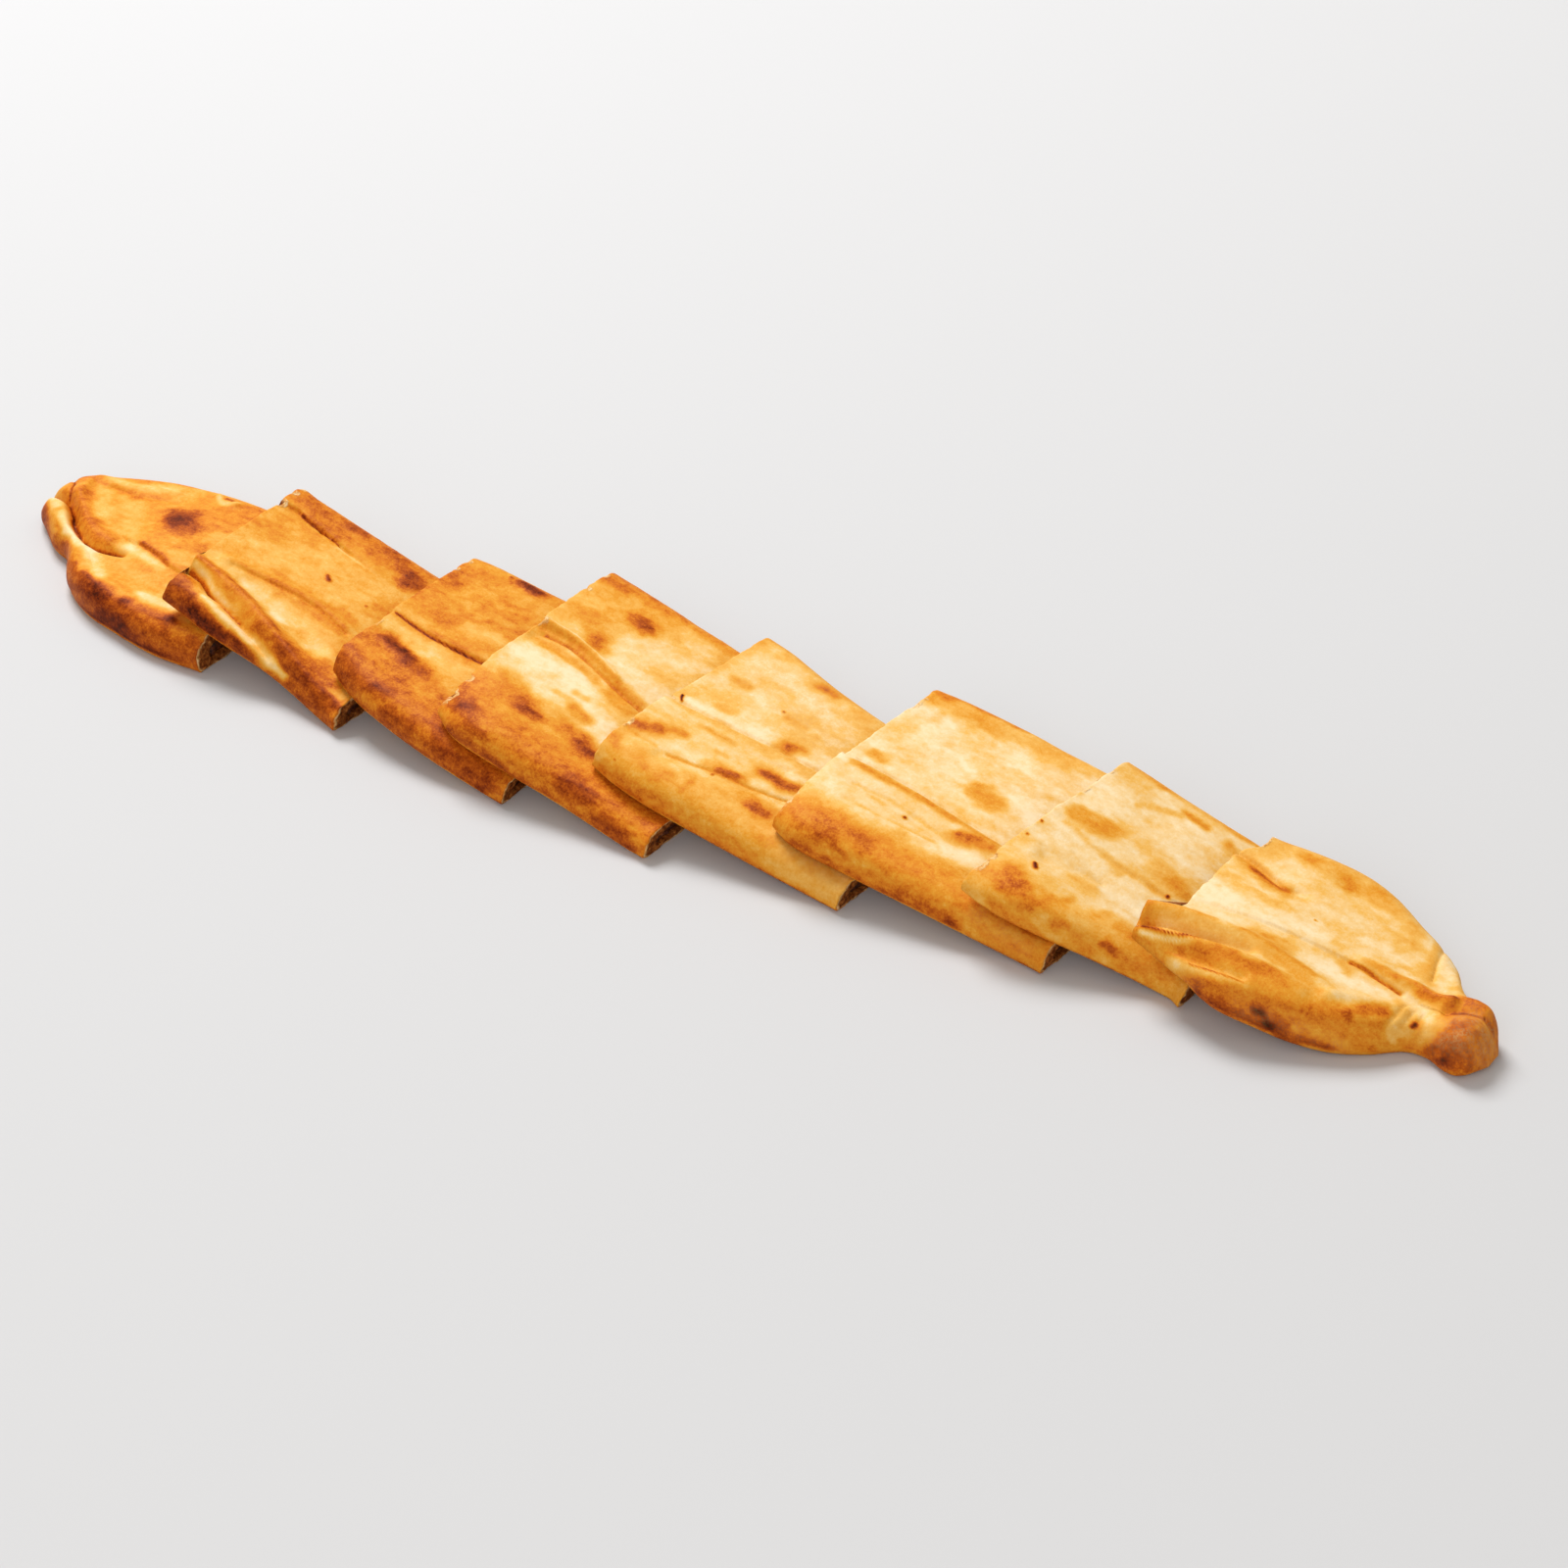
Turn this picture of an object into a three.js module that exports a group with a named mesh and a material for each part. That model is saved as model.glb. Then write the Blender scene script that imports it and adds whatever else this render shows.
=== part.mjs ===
// A long closed pide, a flat roll of baked dough round a thin meat filling, cut across
// into eight pieces. Each piece rests its left end on the right end of the one before it.
//
// Frame: millimetres. +X runs along the bread, +Y to its far side, +Z up. The origin is
// under the middle of the bread's bounding box, on the surface that the bread lies on.

import * as THREE from 'three';

// ---------------------------------------------------------------- driving sizes

// The middle of the bread's box, in the frame that the stations below are measured in.
const MIDDLE_X = -5.25;
const MIDDLE_Y = -1.75;

// The crust's cross-section: flat below, rounded at both long sides.
const SIDE_POWER = 2.4; // 2 is a plain ellipse, more is fuller
const SIDE_UNDER = 3.5; // how far the side rounds in under the bread
const SIDE_OVER = 10; // how far it rounds in over the top
const SIDE_WIDEST = 0.28; // height of the widest line, as a share of the thickness
const THINNEST_FOLD = 0.15; // dough left above that line under the deepest crease, likewise

// The hollow that holds the filling, and the filling in it.
const SIDE_WALL = 9; // folded dough at the far side
const FLOOR_SHARE = 0.2; // bottom dough, as a share of the thickness
const ROOF_SHARE = 0.65; // underside of the folded top dough, likewise
const FILLING_GAP = 0.4;
const FILLING_RECESS = 2.5; // how far the filling stands back from a cut

// The thumb-pressed thin corner that a cut leaves at the near left of a slice.
const CORNER_LENGTH = 0.25; // of the piece's length
const CORNER_WIDTH = 30;

const TIP_ROUNDING = 8; // length over which a closed tip rounds off
const LAP_REACH = 38; // how far behind its edge a lapped flap stays raised
const LAP_RUNOUT = 9; // how fast it dies away past the ends of its edge

// The near part of a left end whose pleats stick out, as shares of the width and length.
const TONGUE_WIDTH = 0.155;
const TONGUE_EASE = 0.05;
const TONGUE_LENGTH = 0.2;

// The side below those pleats lies back: its share of the width, and the rise (from -1 at the
// bottom to 1 at the top) at which it starts and the one by which it lies back all the way.
const UNDERCUT_WIDTH = 0.3;
const UNDERCUT_EASE = 0.25;
const UNDERCUT_TOP = 0.1;
const UNDERCUT_BOTTOM = -0.4;

// Mesh steps.
const TOP_STEPS = 12;
const UNDER_STEPS = 4;
const SIDE_STEPS = 5;
const SLICE_RINGS = 12;
const END_RINGS = 24;
const HOLLOW_RINGS = 4;

// ---------------------------------------------------------------- the eight pieces
//
// stations: [x of the near edge, near edge y, far edge y, height of the underside, thickness]
// skew: how far the far corner of the left and the right end lies right of the near corner
// tip: the end that is pinched shut instead of cut
// corner: share of the thickness that is left at the pressed near left corner
// nearWall: folded dough at the near side
// tongue, undercut: how far the near pleats stick out at the left end, and the side below
//   them stays back
// notch: piece torn out of the left end, where its middle lies, its half width and depth
// folds: ridges, creases and laps of the dough, each along a line of [x, y] points, with its
//   height at the first and the last point and its half width. A lap is a step: the dough is
//   raised on its far (side 1) or its near side (side -1).

const pieces = [
  {
    name: 'end_left',
    tip: 'left',
    skew: [0, 5],
    nearWall: 10,
    hollow: [0.5, 1],
    stations: [
      [-327, 15, 31, 0, 9],
      [-318, 8, 39.5, 0, 14],
      [-305, -2.5, 45, 0, 15],
      [-293, -8.5, 50.5, 0, 15],
      [-281, -23, 53.5, 0, 15],
      [-264, -34.5, 54.8, 0, 15],
      [-245, -40.5, 54, 0, 15.2],
      [-223, -45.5, 51.5, 0, 15],
      [-201, -46, 49, 0, 14.6],
    ],
    folds: [
      { kind: 'ridge', height: [-7, -3], width: 3,
        line: [[-329, 22], [-318, 17.5], [-310, 15], [-297, 2], [-282, -8], [-266, -7.5]] },
      { kind: 'lap', side: 1, height: [1.8, 0.8], width: 2.5,
        line: [[-263, -1], [-252, -4], [-243, -8.5], [-230, -11]] },
      { kind: 'ridge', height: [-2.2, -1], width: 10, line: [[-268, -20], [-232, -22]] },
      { kind: 'ridge', height: [1.2, 0.5], width: 4,
        line: [[-300, 0], [-284, -14], [-260, -29], [-232, -34]] },
    ],
  },
  {
    name: 'slice_2',
    skew: [3, 6],
    corner: 0.6,
    nearWall: 20,
    stations: [
      [-220, -37, 47.5, 20.6, 12],
      [-211, -38.5, 47, 18.2, 12],
      [-197, -41, 46.5, 14.6, 12],
      [-166, -43.5, 44.5, 7.2, 12],
      [-137, -50.5, 42.5, 0.2, 12],
      [-130.5, -53, 41, 0, 12],
    ],
    folds: [
      { kind: 'ridge', height: [-3, -4], width: 3.4,
        line: [[-222, -23], [-205, -30], [-188, -35], [-178, -38.5], [-156, -48]] },
      { kind: 'ridge', height: [2.6, 2], width: 3.2,
        line: [[-219, -19], [-205, -22.5], [-186, -28], [-176, -33], [-161, -40], [-143, -49]] },
      { kind: 'ridge', height: [-1, -1.6], width: 5, line: [[-198, -19], [-176, -22], [-158, -28]] },
      { kind: 'ridge', height: [1.3, 0.6], width: 3,
        line: [[-210, -12], [-190, -9.5], [-172, -8], [-156, -12]] },
      { kind: 'lap', side: 1, height: [1.6, 0.4], width: 2,
        line: [[-220, 31], [-210, 31.5], [-203, 29.5], [-190, 27.5], [-172, 23.5]] },
    ],
  },
  {
    name: 'slice_3',
    skew: [5, 3],
    corner: 0.95,
    nearWall: 9,
    stations: [
      [-140.5, -38.5, 48.5, 14.8, 12],
      [-131.5, -44, 49.5, 13, 12],
      [-118, -49.5, 50, 10.6, 11.8],
      [-86.5, -56.5, 50.5, 5.2, 11.4],
      [-57, -60, 52, 0.1, 10.9],
      [-50.5, -61.5, 52, 0, 10.6],
    ],
    folds: [
      { kind: 'lap', side: 1, height: [0.6, 1.4], width: 2,
        line: [[-141, -4.5], [-125, -7], [-115, -8], [-100, -7.5], [-84, -7.5]] },
      { kind: 'ridge', height: [-0.8, -0.5], width: 8, line: [[-128, -16], [-96, -18]] },
    ],
  },
  {
    name: 'slice_4',
    skew: [5.5, 8],
    corner: 0.5,
    nearWall: 9,
    stations: [
      [-86, -47.5, 60.5, 19, 12.2],
      [-76, -54.5, 59.5, 16.8, 12.2],
      [-61.5, -57, 58, 13.6, 12],
      [-27, -59, 53.5, 6.5, 11.5],
      [5, -62.5, 48.5, 0.1, 10.8],
      [12, -64, 47, 0, 10.5],
    ],
    folds: [
      { kind: 'lap', side: 1, height: [2, 0.7], width: 2,
        line: [[-87, 10], [-76, 9.5], [-66, 9], [-56, 6], [-45, 1.5], [-33, -2], [-22, -5]] },
      { kind: 'ridge', height: [-1.2, -0.6], width: 3, line: [[-80, 3], [-58, 0], [-38, -5]] },
    ],
  },
  {
    name: 'slice_5',
    skew: [14, 9],
    corner: 0.95,
    nearWall: 9,
    stations: [
      [-21, -45.5, 52.5, 17.3, 12],
      [-10, -49, 51, 15.3, 12],
      [6, -51.5, 47, 12.4, 12],
      [43.5, -53.5, 38.5, 5.9, 11.5],
      [79, -55, 30.5, 0.1, 10.9],
      [86.5, -56.5, 28, 0, 10.6],
    ],
    folds: [
      { kind: 'lap', side: -1, height: [1.7, 1.2], width: 2,
        line: [[-19, -6.5], [-10, -7.5], [2, -7.5], [15, -7], [29, -6], [51, -7], [62, -8]] },
      { kind: 'ridge', height: [-0.8, -0.8], width: 2.5, line: [[0, -36], [22, -34], [46, -31]] },
    ],
  },
  {
    name: 'slice_6',
    skew: [10, 11],
    corner: 0.65,
    nearWall: 9,
    stations: [
      [54.5, -45.5, 54.5, 17.3, 12],
      [65.5, -50, 55.5, 15.3, 12],
      [82, -50.5, 56, 12.4, 11.8],
      [121, -50.5, 55, 5.8, 11.4],
      [157.5, -51, 51.5, 0.1, 10.9],
      [165, -52.5, 50, 0, 10.6],
    ],
    folds: [
      { kind: 'lap', side: -1, height: [1.8, 1.2], width: 2,
        line: [[60, -7.5], [70, -6.8], [84, -7.2], [100, -8.8], [115, -11], [140, -14]] },
      { kind: 'ridge', height: [-0.8, -0.6], width: 3.5, line: [[96, -22], [134, -26]] },
    ],
  },
  {
    name: 'slice_7',
    skew: [15, 9],
    corner: 0.6,
    nearWall: 9,
    stations: [
      [133, -48, 44, 20, 12],
      [141.5, -50, 44, 17.7, 12],
      [153.5, -50, 43.5, 14.4, 11.8],
      [182, -45, 42.3, 6.7, 11.3],
      [209.5, -42.5, 41, 0.1, 10.8],
      [215, -45.5, 40, 0, 10.4],
    ],
    folds: [
      { kind: 'lap', side: 1, height: [0.6, 0.5], width: 2,
        line: [[140, -2.5], [147, -4.5], [158, -8], [168, -9], [190, -9.7]] },
      { kind: 'ridge', height: [-1, -0.8], width: 3.5, line: [[150, -24], [169, -20], [190, -24]] },
    ],
  },
  {
    name: 'end_right',
    tip: 'right',
    skew: [0, 0],
    tongue: 11,
    undercut: 17,
    notch: { y: 26, width: 9.5, depth: 6 },
    nearWall: 18,
    hollow: [0, 0.42],
    stations: [
      [204, -41, 33.5, 15.3, 13],
      [212, -46, 34, 13.8, 13.5],
      [221, -50, 35, 12.1, 14],
      [232, -52.5, 36, 9.4, 15],
      [245, -50.5, 36.5, 6, 15.5],
      [257, -48, 33.5, 3, 16],
      [270, -43.5, 26, 0.8, 15.5],
      [281, -36.5, 20, 0, 14],
      [290, -29, 12.5, 0, 12.5],
      [298, -28.5, 0, 0, 14],
      [306, -32, -3.5, 0, 16],
      [313, -32, -7, 0, 14.5],
      [316.5, -26, -13, 0, 9],
    ],
    folds: [
      { kind: 'ridge', height: [3, 1], width: 3.4,
        line: [[193, -33], [204, -31], [228, -27], [240, -27.5], [262, -31.5]] },
      { kind: 'ridge', height: [-3.4, -1.6], width: 2.4, line: [[193, -38.5], [214, -37], [232, -33]] },
      { kind: 'ridge', height: [2.4, 1], width: 3,
        line: [[194, -42], [214, -41.5], [225, -39], [240, -37.5], [254, -39]] },
      { kind: 'ridge', height: [-1.8, -1], width: 2.4, line: [[208, -44.5], [226, -46.5], [236, -46]] },
      { kind: 'lap', side: 1, height: [0.3, 1.5], width: 2,
        line: [[204, -20.5], [216, -18.5], [232, -15.5], [248, -13.7], [272, -14], [288, -16.5]] },
      { kind: 'ridge', height: [2, 3.2], width: 3,
        line: [[263, -10.5], [275, -10.8], [286, -11.5], [297, -13]] },
      { kind: 'ridge', height: [-1.2, -0.8], width: 2.4, line: [[200, 15], [219, 8], [233, 6]] },
    ],
  },
];

// ---------------------------------------------------------------- curves and folds

const clamp = (value, low, high) => Math.min(Math.max(value, low), high);
const mix = (a, b, share) => a + (b - a) * share;
const easeInOut = (share) => {
  const e = clamp(share, 0, 1);
  return e * e * (3 - 2 * e);
};

// A smooth curve through one column of the stations, read at x.
function stationValue(stations, column, x) {
  const last = stations.length - 1;
  let i = 0;
  while (i < last - 1 && x > stations[i + 1][0]) i += 1;
  const slope = (k) => {
    const before = stations[Math.max(k - 1, 0)];
    const after = stations[Math.min(k + 1, last)];
    return (after[column] - before[column]) / (after[0] - before[0]);
  };
  const [a, b] = [stations[i], stations[i + 1]];
  const span = b[0] - a[0];
  const u = clamp((x - a[0]) / span, 0, 1);
  return (2 * u ** 3 - 3 * u ** 2 + 1) * a[column]
    + (u ** 3 - 2 * u ** 2 + u) * span * slope(i)
    + (3 * u ** 2 - 2 * u ** 3) * b[column]
    + (u ** 3 - u ** 2) * span * slope(i + 1);
}

// The nearest place on a fold's line: distance from it (positive on its far side), share of
// the line's length that lies before it, and distance past the line's ends.
function nearestOnLine(line, x, y) {
  const point = new THREE.Vector2(x, y);
  const corners = line.map((corner) => new THREE.Vector2(...corner));
  const lengths = corners.slice(1).map((end, i) => end.distanceTo(corners[i]));
  const total = lengths.reduce((sum, length) => sum + length, 0);
  let best = { gap: Infinity };
  let before = 0;
  lengths.forEach((length, i) => {
    const along = corners[i + 1].clone().sub(corners[i]).divideScalar(length);
    const offset = point.clone().sub(corners[i]);
    const run = offset.dot(along);
    const held = clamp(run, 0, length);
    const across = along.cross(offset);
    const gap = Math.hypot(across, run - held);
    if (gap < best.gap) {
      const short = i === 0 ? Math.max(-run, 0) : 0;
      const long = i === lengths.length - 1 ? Math.max(run - length, 0) : 0;
      const past = short + long;
      const share = (before + held) / total;
      best = { gap, past, share, side: across < 0 ? -1 : 1 };
    }
    before += length;
  });
  return best;
}

// Height that the folds add to the top of the dough at [x, y].
function foldHeight(folds, x, y) {
  return folds.reduce((sum, fold) => {
    const near = nearestOnLine(fold.line, x, y);
    const height = mix(fold.height[0], fold.height[1], near.share);
    if (fold.kind === 'ridge') return sum + height * Math.exp(-((near.gap / fold.width) ** 2));
    const signed = near.gap * near.side * fold.side;
    const step = easeInOut(0.5 + signed / (2 * fold.width));
    const behind = Math.exp(-((Math.max(signed, 0) / LAP_REACH) ** 2));
    return sum + height * step * behind * Math.exp(-((near.past / LAP_RUNOUT) ** 2));
  }, 0);
}

// ---------------------------------------------------------------- the crust

// The piece's outline and heights at a share s of its length.
function station(piece, s) {
  const first = piece.stations[0][0];
  const last = piece.stations[piece.stations.length - 1][0];
  const x = mix(first, last, s);
  const read = (column) => stationValue(piece.stations, column, x);
  const here = { s, x, near: read(1), far: read(2), under: Math.max(read(3), 0), thick: read(4) };
  here.lean = mix(piece.skew[0], piece.skew[1], s);
  if (piece.tip) {
    const fromTip = piece.tip === 'left' ? x - first : last - x;
    const round = Math.sqrt(1 - (1 - clamp(fromTip / TIP_ROUNDING, 0.02, 1)) ** 2);
    const middle = (here.near + here.far) / 2;
    const half = ((here.far - here.near) / 2) * mix(0.6, 1, round);
    here.under += here.thick * SIDE_WIDEST * (1 - round);
    here.thick *= round;
    here.near = middle - half;
    here.far = middle + half;
  }
  return here;
}

// Share of the thickness that is left where the near left corner is pressed thin.
function cornerShare(piece, here, y) {
  if (!piece.corner) return 1;
  const pressed = Math.max(1 - here.s / CORNER_LENGTH, 0) ** 1.5;
  return 1 - (1 - piece.corner) * pressed * clamp(1 - (y - here.near) / CORNER_WIDTH, 0, 1);
}

// The section as a loop of [share across, rise from -1 below to 1 above, reach of a side].
function sectionLoop(here) {
  const width = here.far - here.near;
  const over = Math.min(SIDE_OVER, width * 0.4);
  const under = Math.min(SIDE_UNDER, width * 0.2);
  const loop = [];
  const side = (steps, angleAt, edge, inward) => {
    for (let i = 0; i < steps; i += 1) {
      const angle = angleAt(i / steps);
      const reach = angle < 0 ? under : over;
      const inset = reach * (1 - Math.abs(Math.cos(angle)) ** (2 / SIDE_POWER));
      const rise = Math.sign(angle) * Math.abs(Math.sin(angle)) ** (2 / SIDE_POWER);
      loop.push({ y: edge + inward * inset, rise });
    }
  };
  for (let i = 0; i < UNDER_STEPS; i += 1) {
    loop.push({ y: mix(here.near + under, here.far - under, i / UNDER_STEPS), rise: -1 });
  }
  side(SIDE_STEPS, (u) => mix(-Math.PI / 2, Math.PI / 2, u), here.far, -1);
  for (let i = 0; i < TOP_STEPS; i += 1) {
    loop.push({ y: mix(here.far - over, here.near + over, i / TOP_STEPS), rise: 1 });
  }
  side(SIDE_STEPS, (u) => mix(Math.PI / 2, -Math.PI / 2, u), here.near, 1);
  return loop;
}

// 1 at the left end, 0 where the pleats stop sticking out.
const nearLeftEnd = (here) => Math.max(1 - here.s / TONGUE_LENGTH, 0) ** 1.5;

// How far a torn-out piece moves the left end back at y; this dies away along the bread.
function notchAt(piece, here, y) {
  if (!piece.notch) return 0;
  const { width, depth } = piece.notch;
  const fromLeftEnd = here.x - piece.stations[0][0];
  return depth * Math.exp(-(((y - piece.notch.y) / width) ** 6) - fromLeftEnd / (2 * depth));
}

// x of a point of the piece that lies at y.
function alongAt(piece, here, y) {
  const across = clamp((y - here.near) / (here.far - here.near), 0, 1);
  const atNearSide = easeInOut((TONGUE_WIDTH - across) / TONGUE_EASE);
  const tongue = (piece.tongue ?? 0) * atNearSide * nearLeftEnd(here);
  return here.x + here.lean * across - tongue + notchAt(piece, here, y);
}

// How far back the side lies under the pleats of a left end.
function undercutAt(piece, here, y, rise) {
  const across = (y - here.near) / (here.far - here.near);
  const atNearSide = easeInOut((UNDERCUT_WIDTH - across) / UNDERCUT_EASE);
  const below = easeInOut((UNDERCUT_TOP - rise) / (UNDERCUT_TOP - UNDERCUT_BOTTOM));
  return (piece.undercut ?? 0) * below * atNearSide * nearLeftEnd(here);
}

function crustRing(piece, s) {
  const here = station(piece, s);
  return sectionLoop(here).map(({ y, rise }) => {
    const x = alongAt(piece, here, y) + undercutAt(piece, here, y, rise);
    const thick = here.thick * cornerShare(piece, here, y);
    const widest = here.under + thick * SIDE_WIDEST;
    const folded = thick * (1 - SIDE_WIDEST) + foldHeight(piece.folds, x, y);
    const crown = Math.max(folded, thick * THINNEST_FOLD);
    return new THREE.Vector3(x, y, widest + rise * (rise < 0 ? widest - here.under : crown));
  });
}

// ---------------------------------------------------------------- the hollow and the filling

// The same loop drawn in by the side walls, floor and roof, and by a gap for the filling.
function hollowRing(piece, s, gap) {
  const here = station(piece, s);
  const near = here.near + piece.nearWall + gap;
  const far = here.far - SIDE_WALL - gap;
  return sectionLoop(here).map(({ y, rise }) => {
    const across = (y - here.near) / (here.far - here.near);
    const inside = mix(near, far, across);
    const thick = here.thick * cornerShare(piece, here, inside);
    const floor = here.under + thick * FLOOR_SHARE + gap;
    const roof = here.under + thick * ROOF_SHARE - gap;
    return new THREE.Vector3(alongAt(piece, here, inside), inside, mix(floor, roof, (rise + 1) / 2));
  });
}

// Shares of the length at which the hollow is drawn; the second and the last but one are
// where the filling ends, so that both follow the same straight runs.
function hollowShares(piece) {
  const length = piece.stations[piece.stations.length - 1][0] - piece.stations[0][0];
  const recess = FILLING_RECESS / length;
  const [from, to] = piece.hollow ?? [0, 1];
  const shares = [from, from + recess];
  for (let i = 1; i < HOLLOW_RINGS; i += 1) shares.push(mix(from, to, i / HOLLOW_RINGS));
  return [...shares, to - recess, to];
}

// ---------------------------------------------------------------- skins

// A closed skin: rings of points joined one after the other.
class Skin {
  constructor() {
    this.points = [];
    this.faces = [];
  }

  addRing(points) {
    const start = this.points.length;
    this.points.push(...points);
    return { start, count: points.length };
  }

  joinRings(a, b) {
    for (let i = 0; i < a.count; i += 1) {
      const j = (i + 1) % a.count;
      this.faces.push([a.start + i, b.start + j, a.start + j]);
      this.faces.push([a.start + i, b.start + i, b.start + j]);
    }
  }

  // Closes a ring with a fan round its middle point.
  closeRing(ring, outwards) {
    const middle = new THREE.Vector3();
    for (let i = 0; i < ring.count; i += 1) middle.add(this.points[ring.start + i]);
    const centre = this.addRing([middle.divideScalar(ring.count)]).start;
    for (let i = 0; i < ring.count; i += 1) {
      const j = ring.start + ((i + 1) % ring.count);
      this.faces.push(outwards ? [j, ring.start + i, centre] : [ring.start + i, j, centre]);
    }
  }

  geometry() {
    const geometry = new THREE.BufferGeometry().setFromPoints(this.points);
    geometry.setIndex(this.faces.flat());
    geometry.computeVertexNormals();
    return geometry;
  }
}

// Shares of the length for the crust's rings, closer together towards a tip.
function crustShares(piece) {
  const rings = piece.tip ? END_RINGS : SLICE_RINGS;
  const shares = [];
  for (let i = 0; i <= rings; i += 1) {
    const even = i / rings;
    if (piece.tip === 'left') shares.push(even ** 1.5);
    else if (piece.tip === 'right') shares.push(1 - (1 - even) ** 1.5);
    else shares.push(even);
  }
  return shares;
}

// The crust: the outer skin, turned in at each cut to line the hollow.
function crustGeometry(piece) {
  const skin = new Skin();
  const outer = crustShares(piece).map((s) => skin.addRing(crustRing(piece, s)));
  const inner = hollowShares(piece).map((s) => skin.addRing(hollowRing(piece, s, 0)));
  outer.slice(1).forEach((ring, i) => skin.joinRings(ring, outer[i]));
  inner.slice(1).forEach((ring, i) => skin.joinRings(inner[i], ring));
  if (piece.tip === 'left') {
    skin.closeRing(outer[0], true);
    skin.closeRing(inner[0], false);
  } else {
    skin.joinRings(outer[0], inner[0]);
  }
  if (piece.tip === 'right') {
    skin.closeRing(outer[outer.length - 1], false);
    skin.closeRing(inner[inner.length - 1], true);
  } else {
    skin.joinRings(inner[inner.length - 1], outer[outer.length - 1]);
  }
  return skin.geometry();
}

function fillingGeometry(piece) {
  const skin = new Skin();
  const shares = hollowShares(piece).slice(1, -1);
  const rings = shares.map((s) => skin.addRing(hollowRing(piece, s, FILLING_GAP)));
  rings.slice(1).forEach((ring, i) => skin.joinRings(ring, rings[i]));
  skin.closeRing(rings[0], true);
  skin.closeRing(rings[rings.length - 1], false);
  return skin.geometry();
}

// ---------------------------------------------------------------- the whole bread

const bakedCrust = { color: '#e0a048', roughness: 0.62, metalness: 0 };
const mincedMeat = { color: '#5a2c17', roughness: 0.55, metalness: 0 };

function namedMesh(name, geometry, look) {
  const mesh = new THREE.Mesh(geometry, new THREE.MeshStandardMaterial(look));
  mesh.name = name;
  return mesh;
}

const pide = new THREE.Group();
for (const piece of pieces) {
  pide.add(namedMesh(`${piece.name}_crust`, crustGeometry(piece), bakedCrust));
  pide.add(namedMesh(`${piece.name}_filling`, fillingGeometry(piece), mincedMeat));
}
pide.position.set(-MIDDLE_X, -MIDDLE_Y, 0);
pide.updateMatrixWorld(true);

export default pide;
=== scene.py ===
"""A sliced closed pide: a long flat roll of baked dough round a minced meat filling, cut
across into eight pieces that lie on each other like roof tiles.

Shapes are worked out in millimetres, in the frame that the bread was measured in: x along
it, y to its far side, z up. MIDDLE then moves them under the middle of the bread's box.
Every piece is one skin of rings: along its outside, over the cut, back through the tunnel
that holds the filling and over the other cut.
"""

from types import SimpleNamespace

import bpy
import numpy as np
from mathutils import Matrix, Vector


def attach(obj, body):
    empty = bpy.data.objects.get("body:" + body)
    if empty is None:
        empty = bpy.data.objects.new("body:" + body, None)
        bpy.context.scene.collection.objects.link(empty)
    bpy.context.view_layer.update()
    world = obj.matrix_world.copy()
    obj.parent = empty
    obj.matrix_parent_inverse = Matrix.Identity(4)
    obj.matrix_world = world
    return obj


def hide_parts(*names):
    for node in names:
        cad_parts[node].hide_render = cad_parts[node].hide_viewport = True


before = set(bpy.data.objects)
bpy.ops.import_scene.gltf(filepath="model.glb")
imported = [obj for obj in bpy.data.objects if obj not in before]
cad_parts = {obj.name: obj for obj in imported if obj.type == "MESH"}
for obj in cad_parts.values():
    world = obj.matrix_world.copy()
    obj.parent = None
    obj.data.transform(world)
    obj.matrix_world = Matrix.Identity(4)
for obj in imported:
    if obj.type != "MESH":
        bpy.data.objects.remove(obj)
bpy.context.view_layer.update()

# ------------------------------------------------------------------ sizes, millimetres

METRES = 0.001
MIDDLE = np.array([-5.25, -1.75, 0.0])

SIDE_POWER = 2.4  # roundness of the long sides: 2 is a plain ellipse, more is fuller
SIDE_UNDER = 3.5  # how far a side rounds in under the bread
SIDE_OVER = 10.0  # how far it rounds in over the top
SIDE_WIDEST = 0.28  # height of the widest line, as a share of the thickness
THINNEST_FOLD = 0.15  # dough left above that line under the deepest crease, likewise
SIDE_SHARES = (0.2, 0.4)  # most of a narrow piece's width that SIDE_UNDER and SIDE_OVER take

SIDE_WALL = 9.0  # folded dough at the far side of the filling
CUT_WALL = 8.0  # dough at the near side of a right cut
FLOOR_SHARE = 0.2  # bottom dough, as a share of the thickness
ROOF_SHARE = 0.65  # underside of the top dough, likewise
FILLING_GAP = 0.3
FILLING_RECESS = 1.2  # how far the filling stands back from a cut

CORNER_LENGTH = 0.25  # pressed thin near left corner, as a share of the piece's length
CORNER_WIDTH = 30.0  # how far it reaches in from the near edge
TIP_ROUNDING = 8.0  # length over which a closed tip rounds off
LAP_REACH = 38.0  # how far behind its edge a lapped flap stays raised
LAP_RUNOUT = 9.0  # how fast it dies away past the ends of its edge
CREASE_RUNOUT = 3.0  # how fast a crease does past its ends
TONGUE_WIDTH = 0.155  # pleats that stick out to the left, as a share of the piece's width
TONGUE_EASE = 0.05  # how softly they end, likewise
TONGUE_LENGTH = 0.2  # how far they run into the piece, as a share of its length
UNDERCUT_WIDTH = 0.3  # near side that stands back under them, as a share of the width
UNDERCUT_EASE = 0.25  # how softly that ends, likewise
UNDERCUT_TOP = 0.1  # rise at which the standing back begins
UNDERCUT_BOTTOM = -0.4  # rise from which down it is full

RING_SPACING = 0.6  # from one ring of the skin to the next
TIP_CROWDING = 1.35  # power that draws the rings together towards a closed tip
UNDER_POINTS = 44  # points of a ring along the underside
SIDE_POINTS = 44  # round each side
TOP_POINTS = 150  # and along the top
CUT_RINGS = 9
TUNNEL_RINGS = 8
FILLING_GRID = (150, 12)  # points across and up an end of the filling
CRUST_EDGE = 0.4  # thickness of the baked skin that shows as a line round a cut


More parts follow.
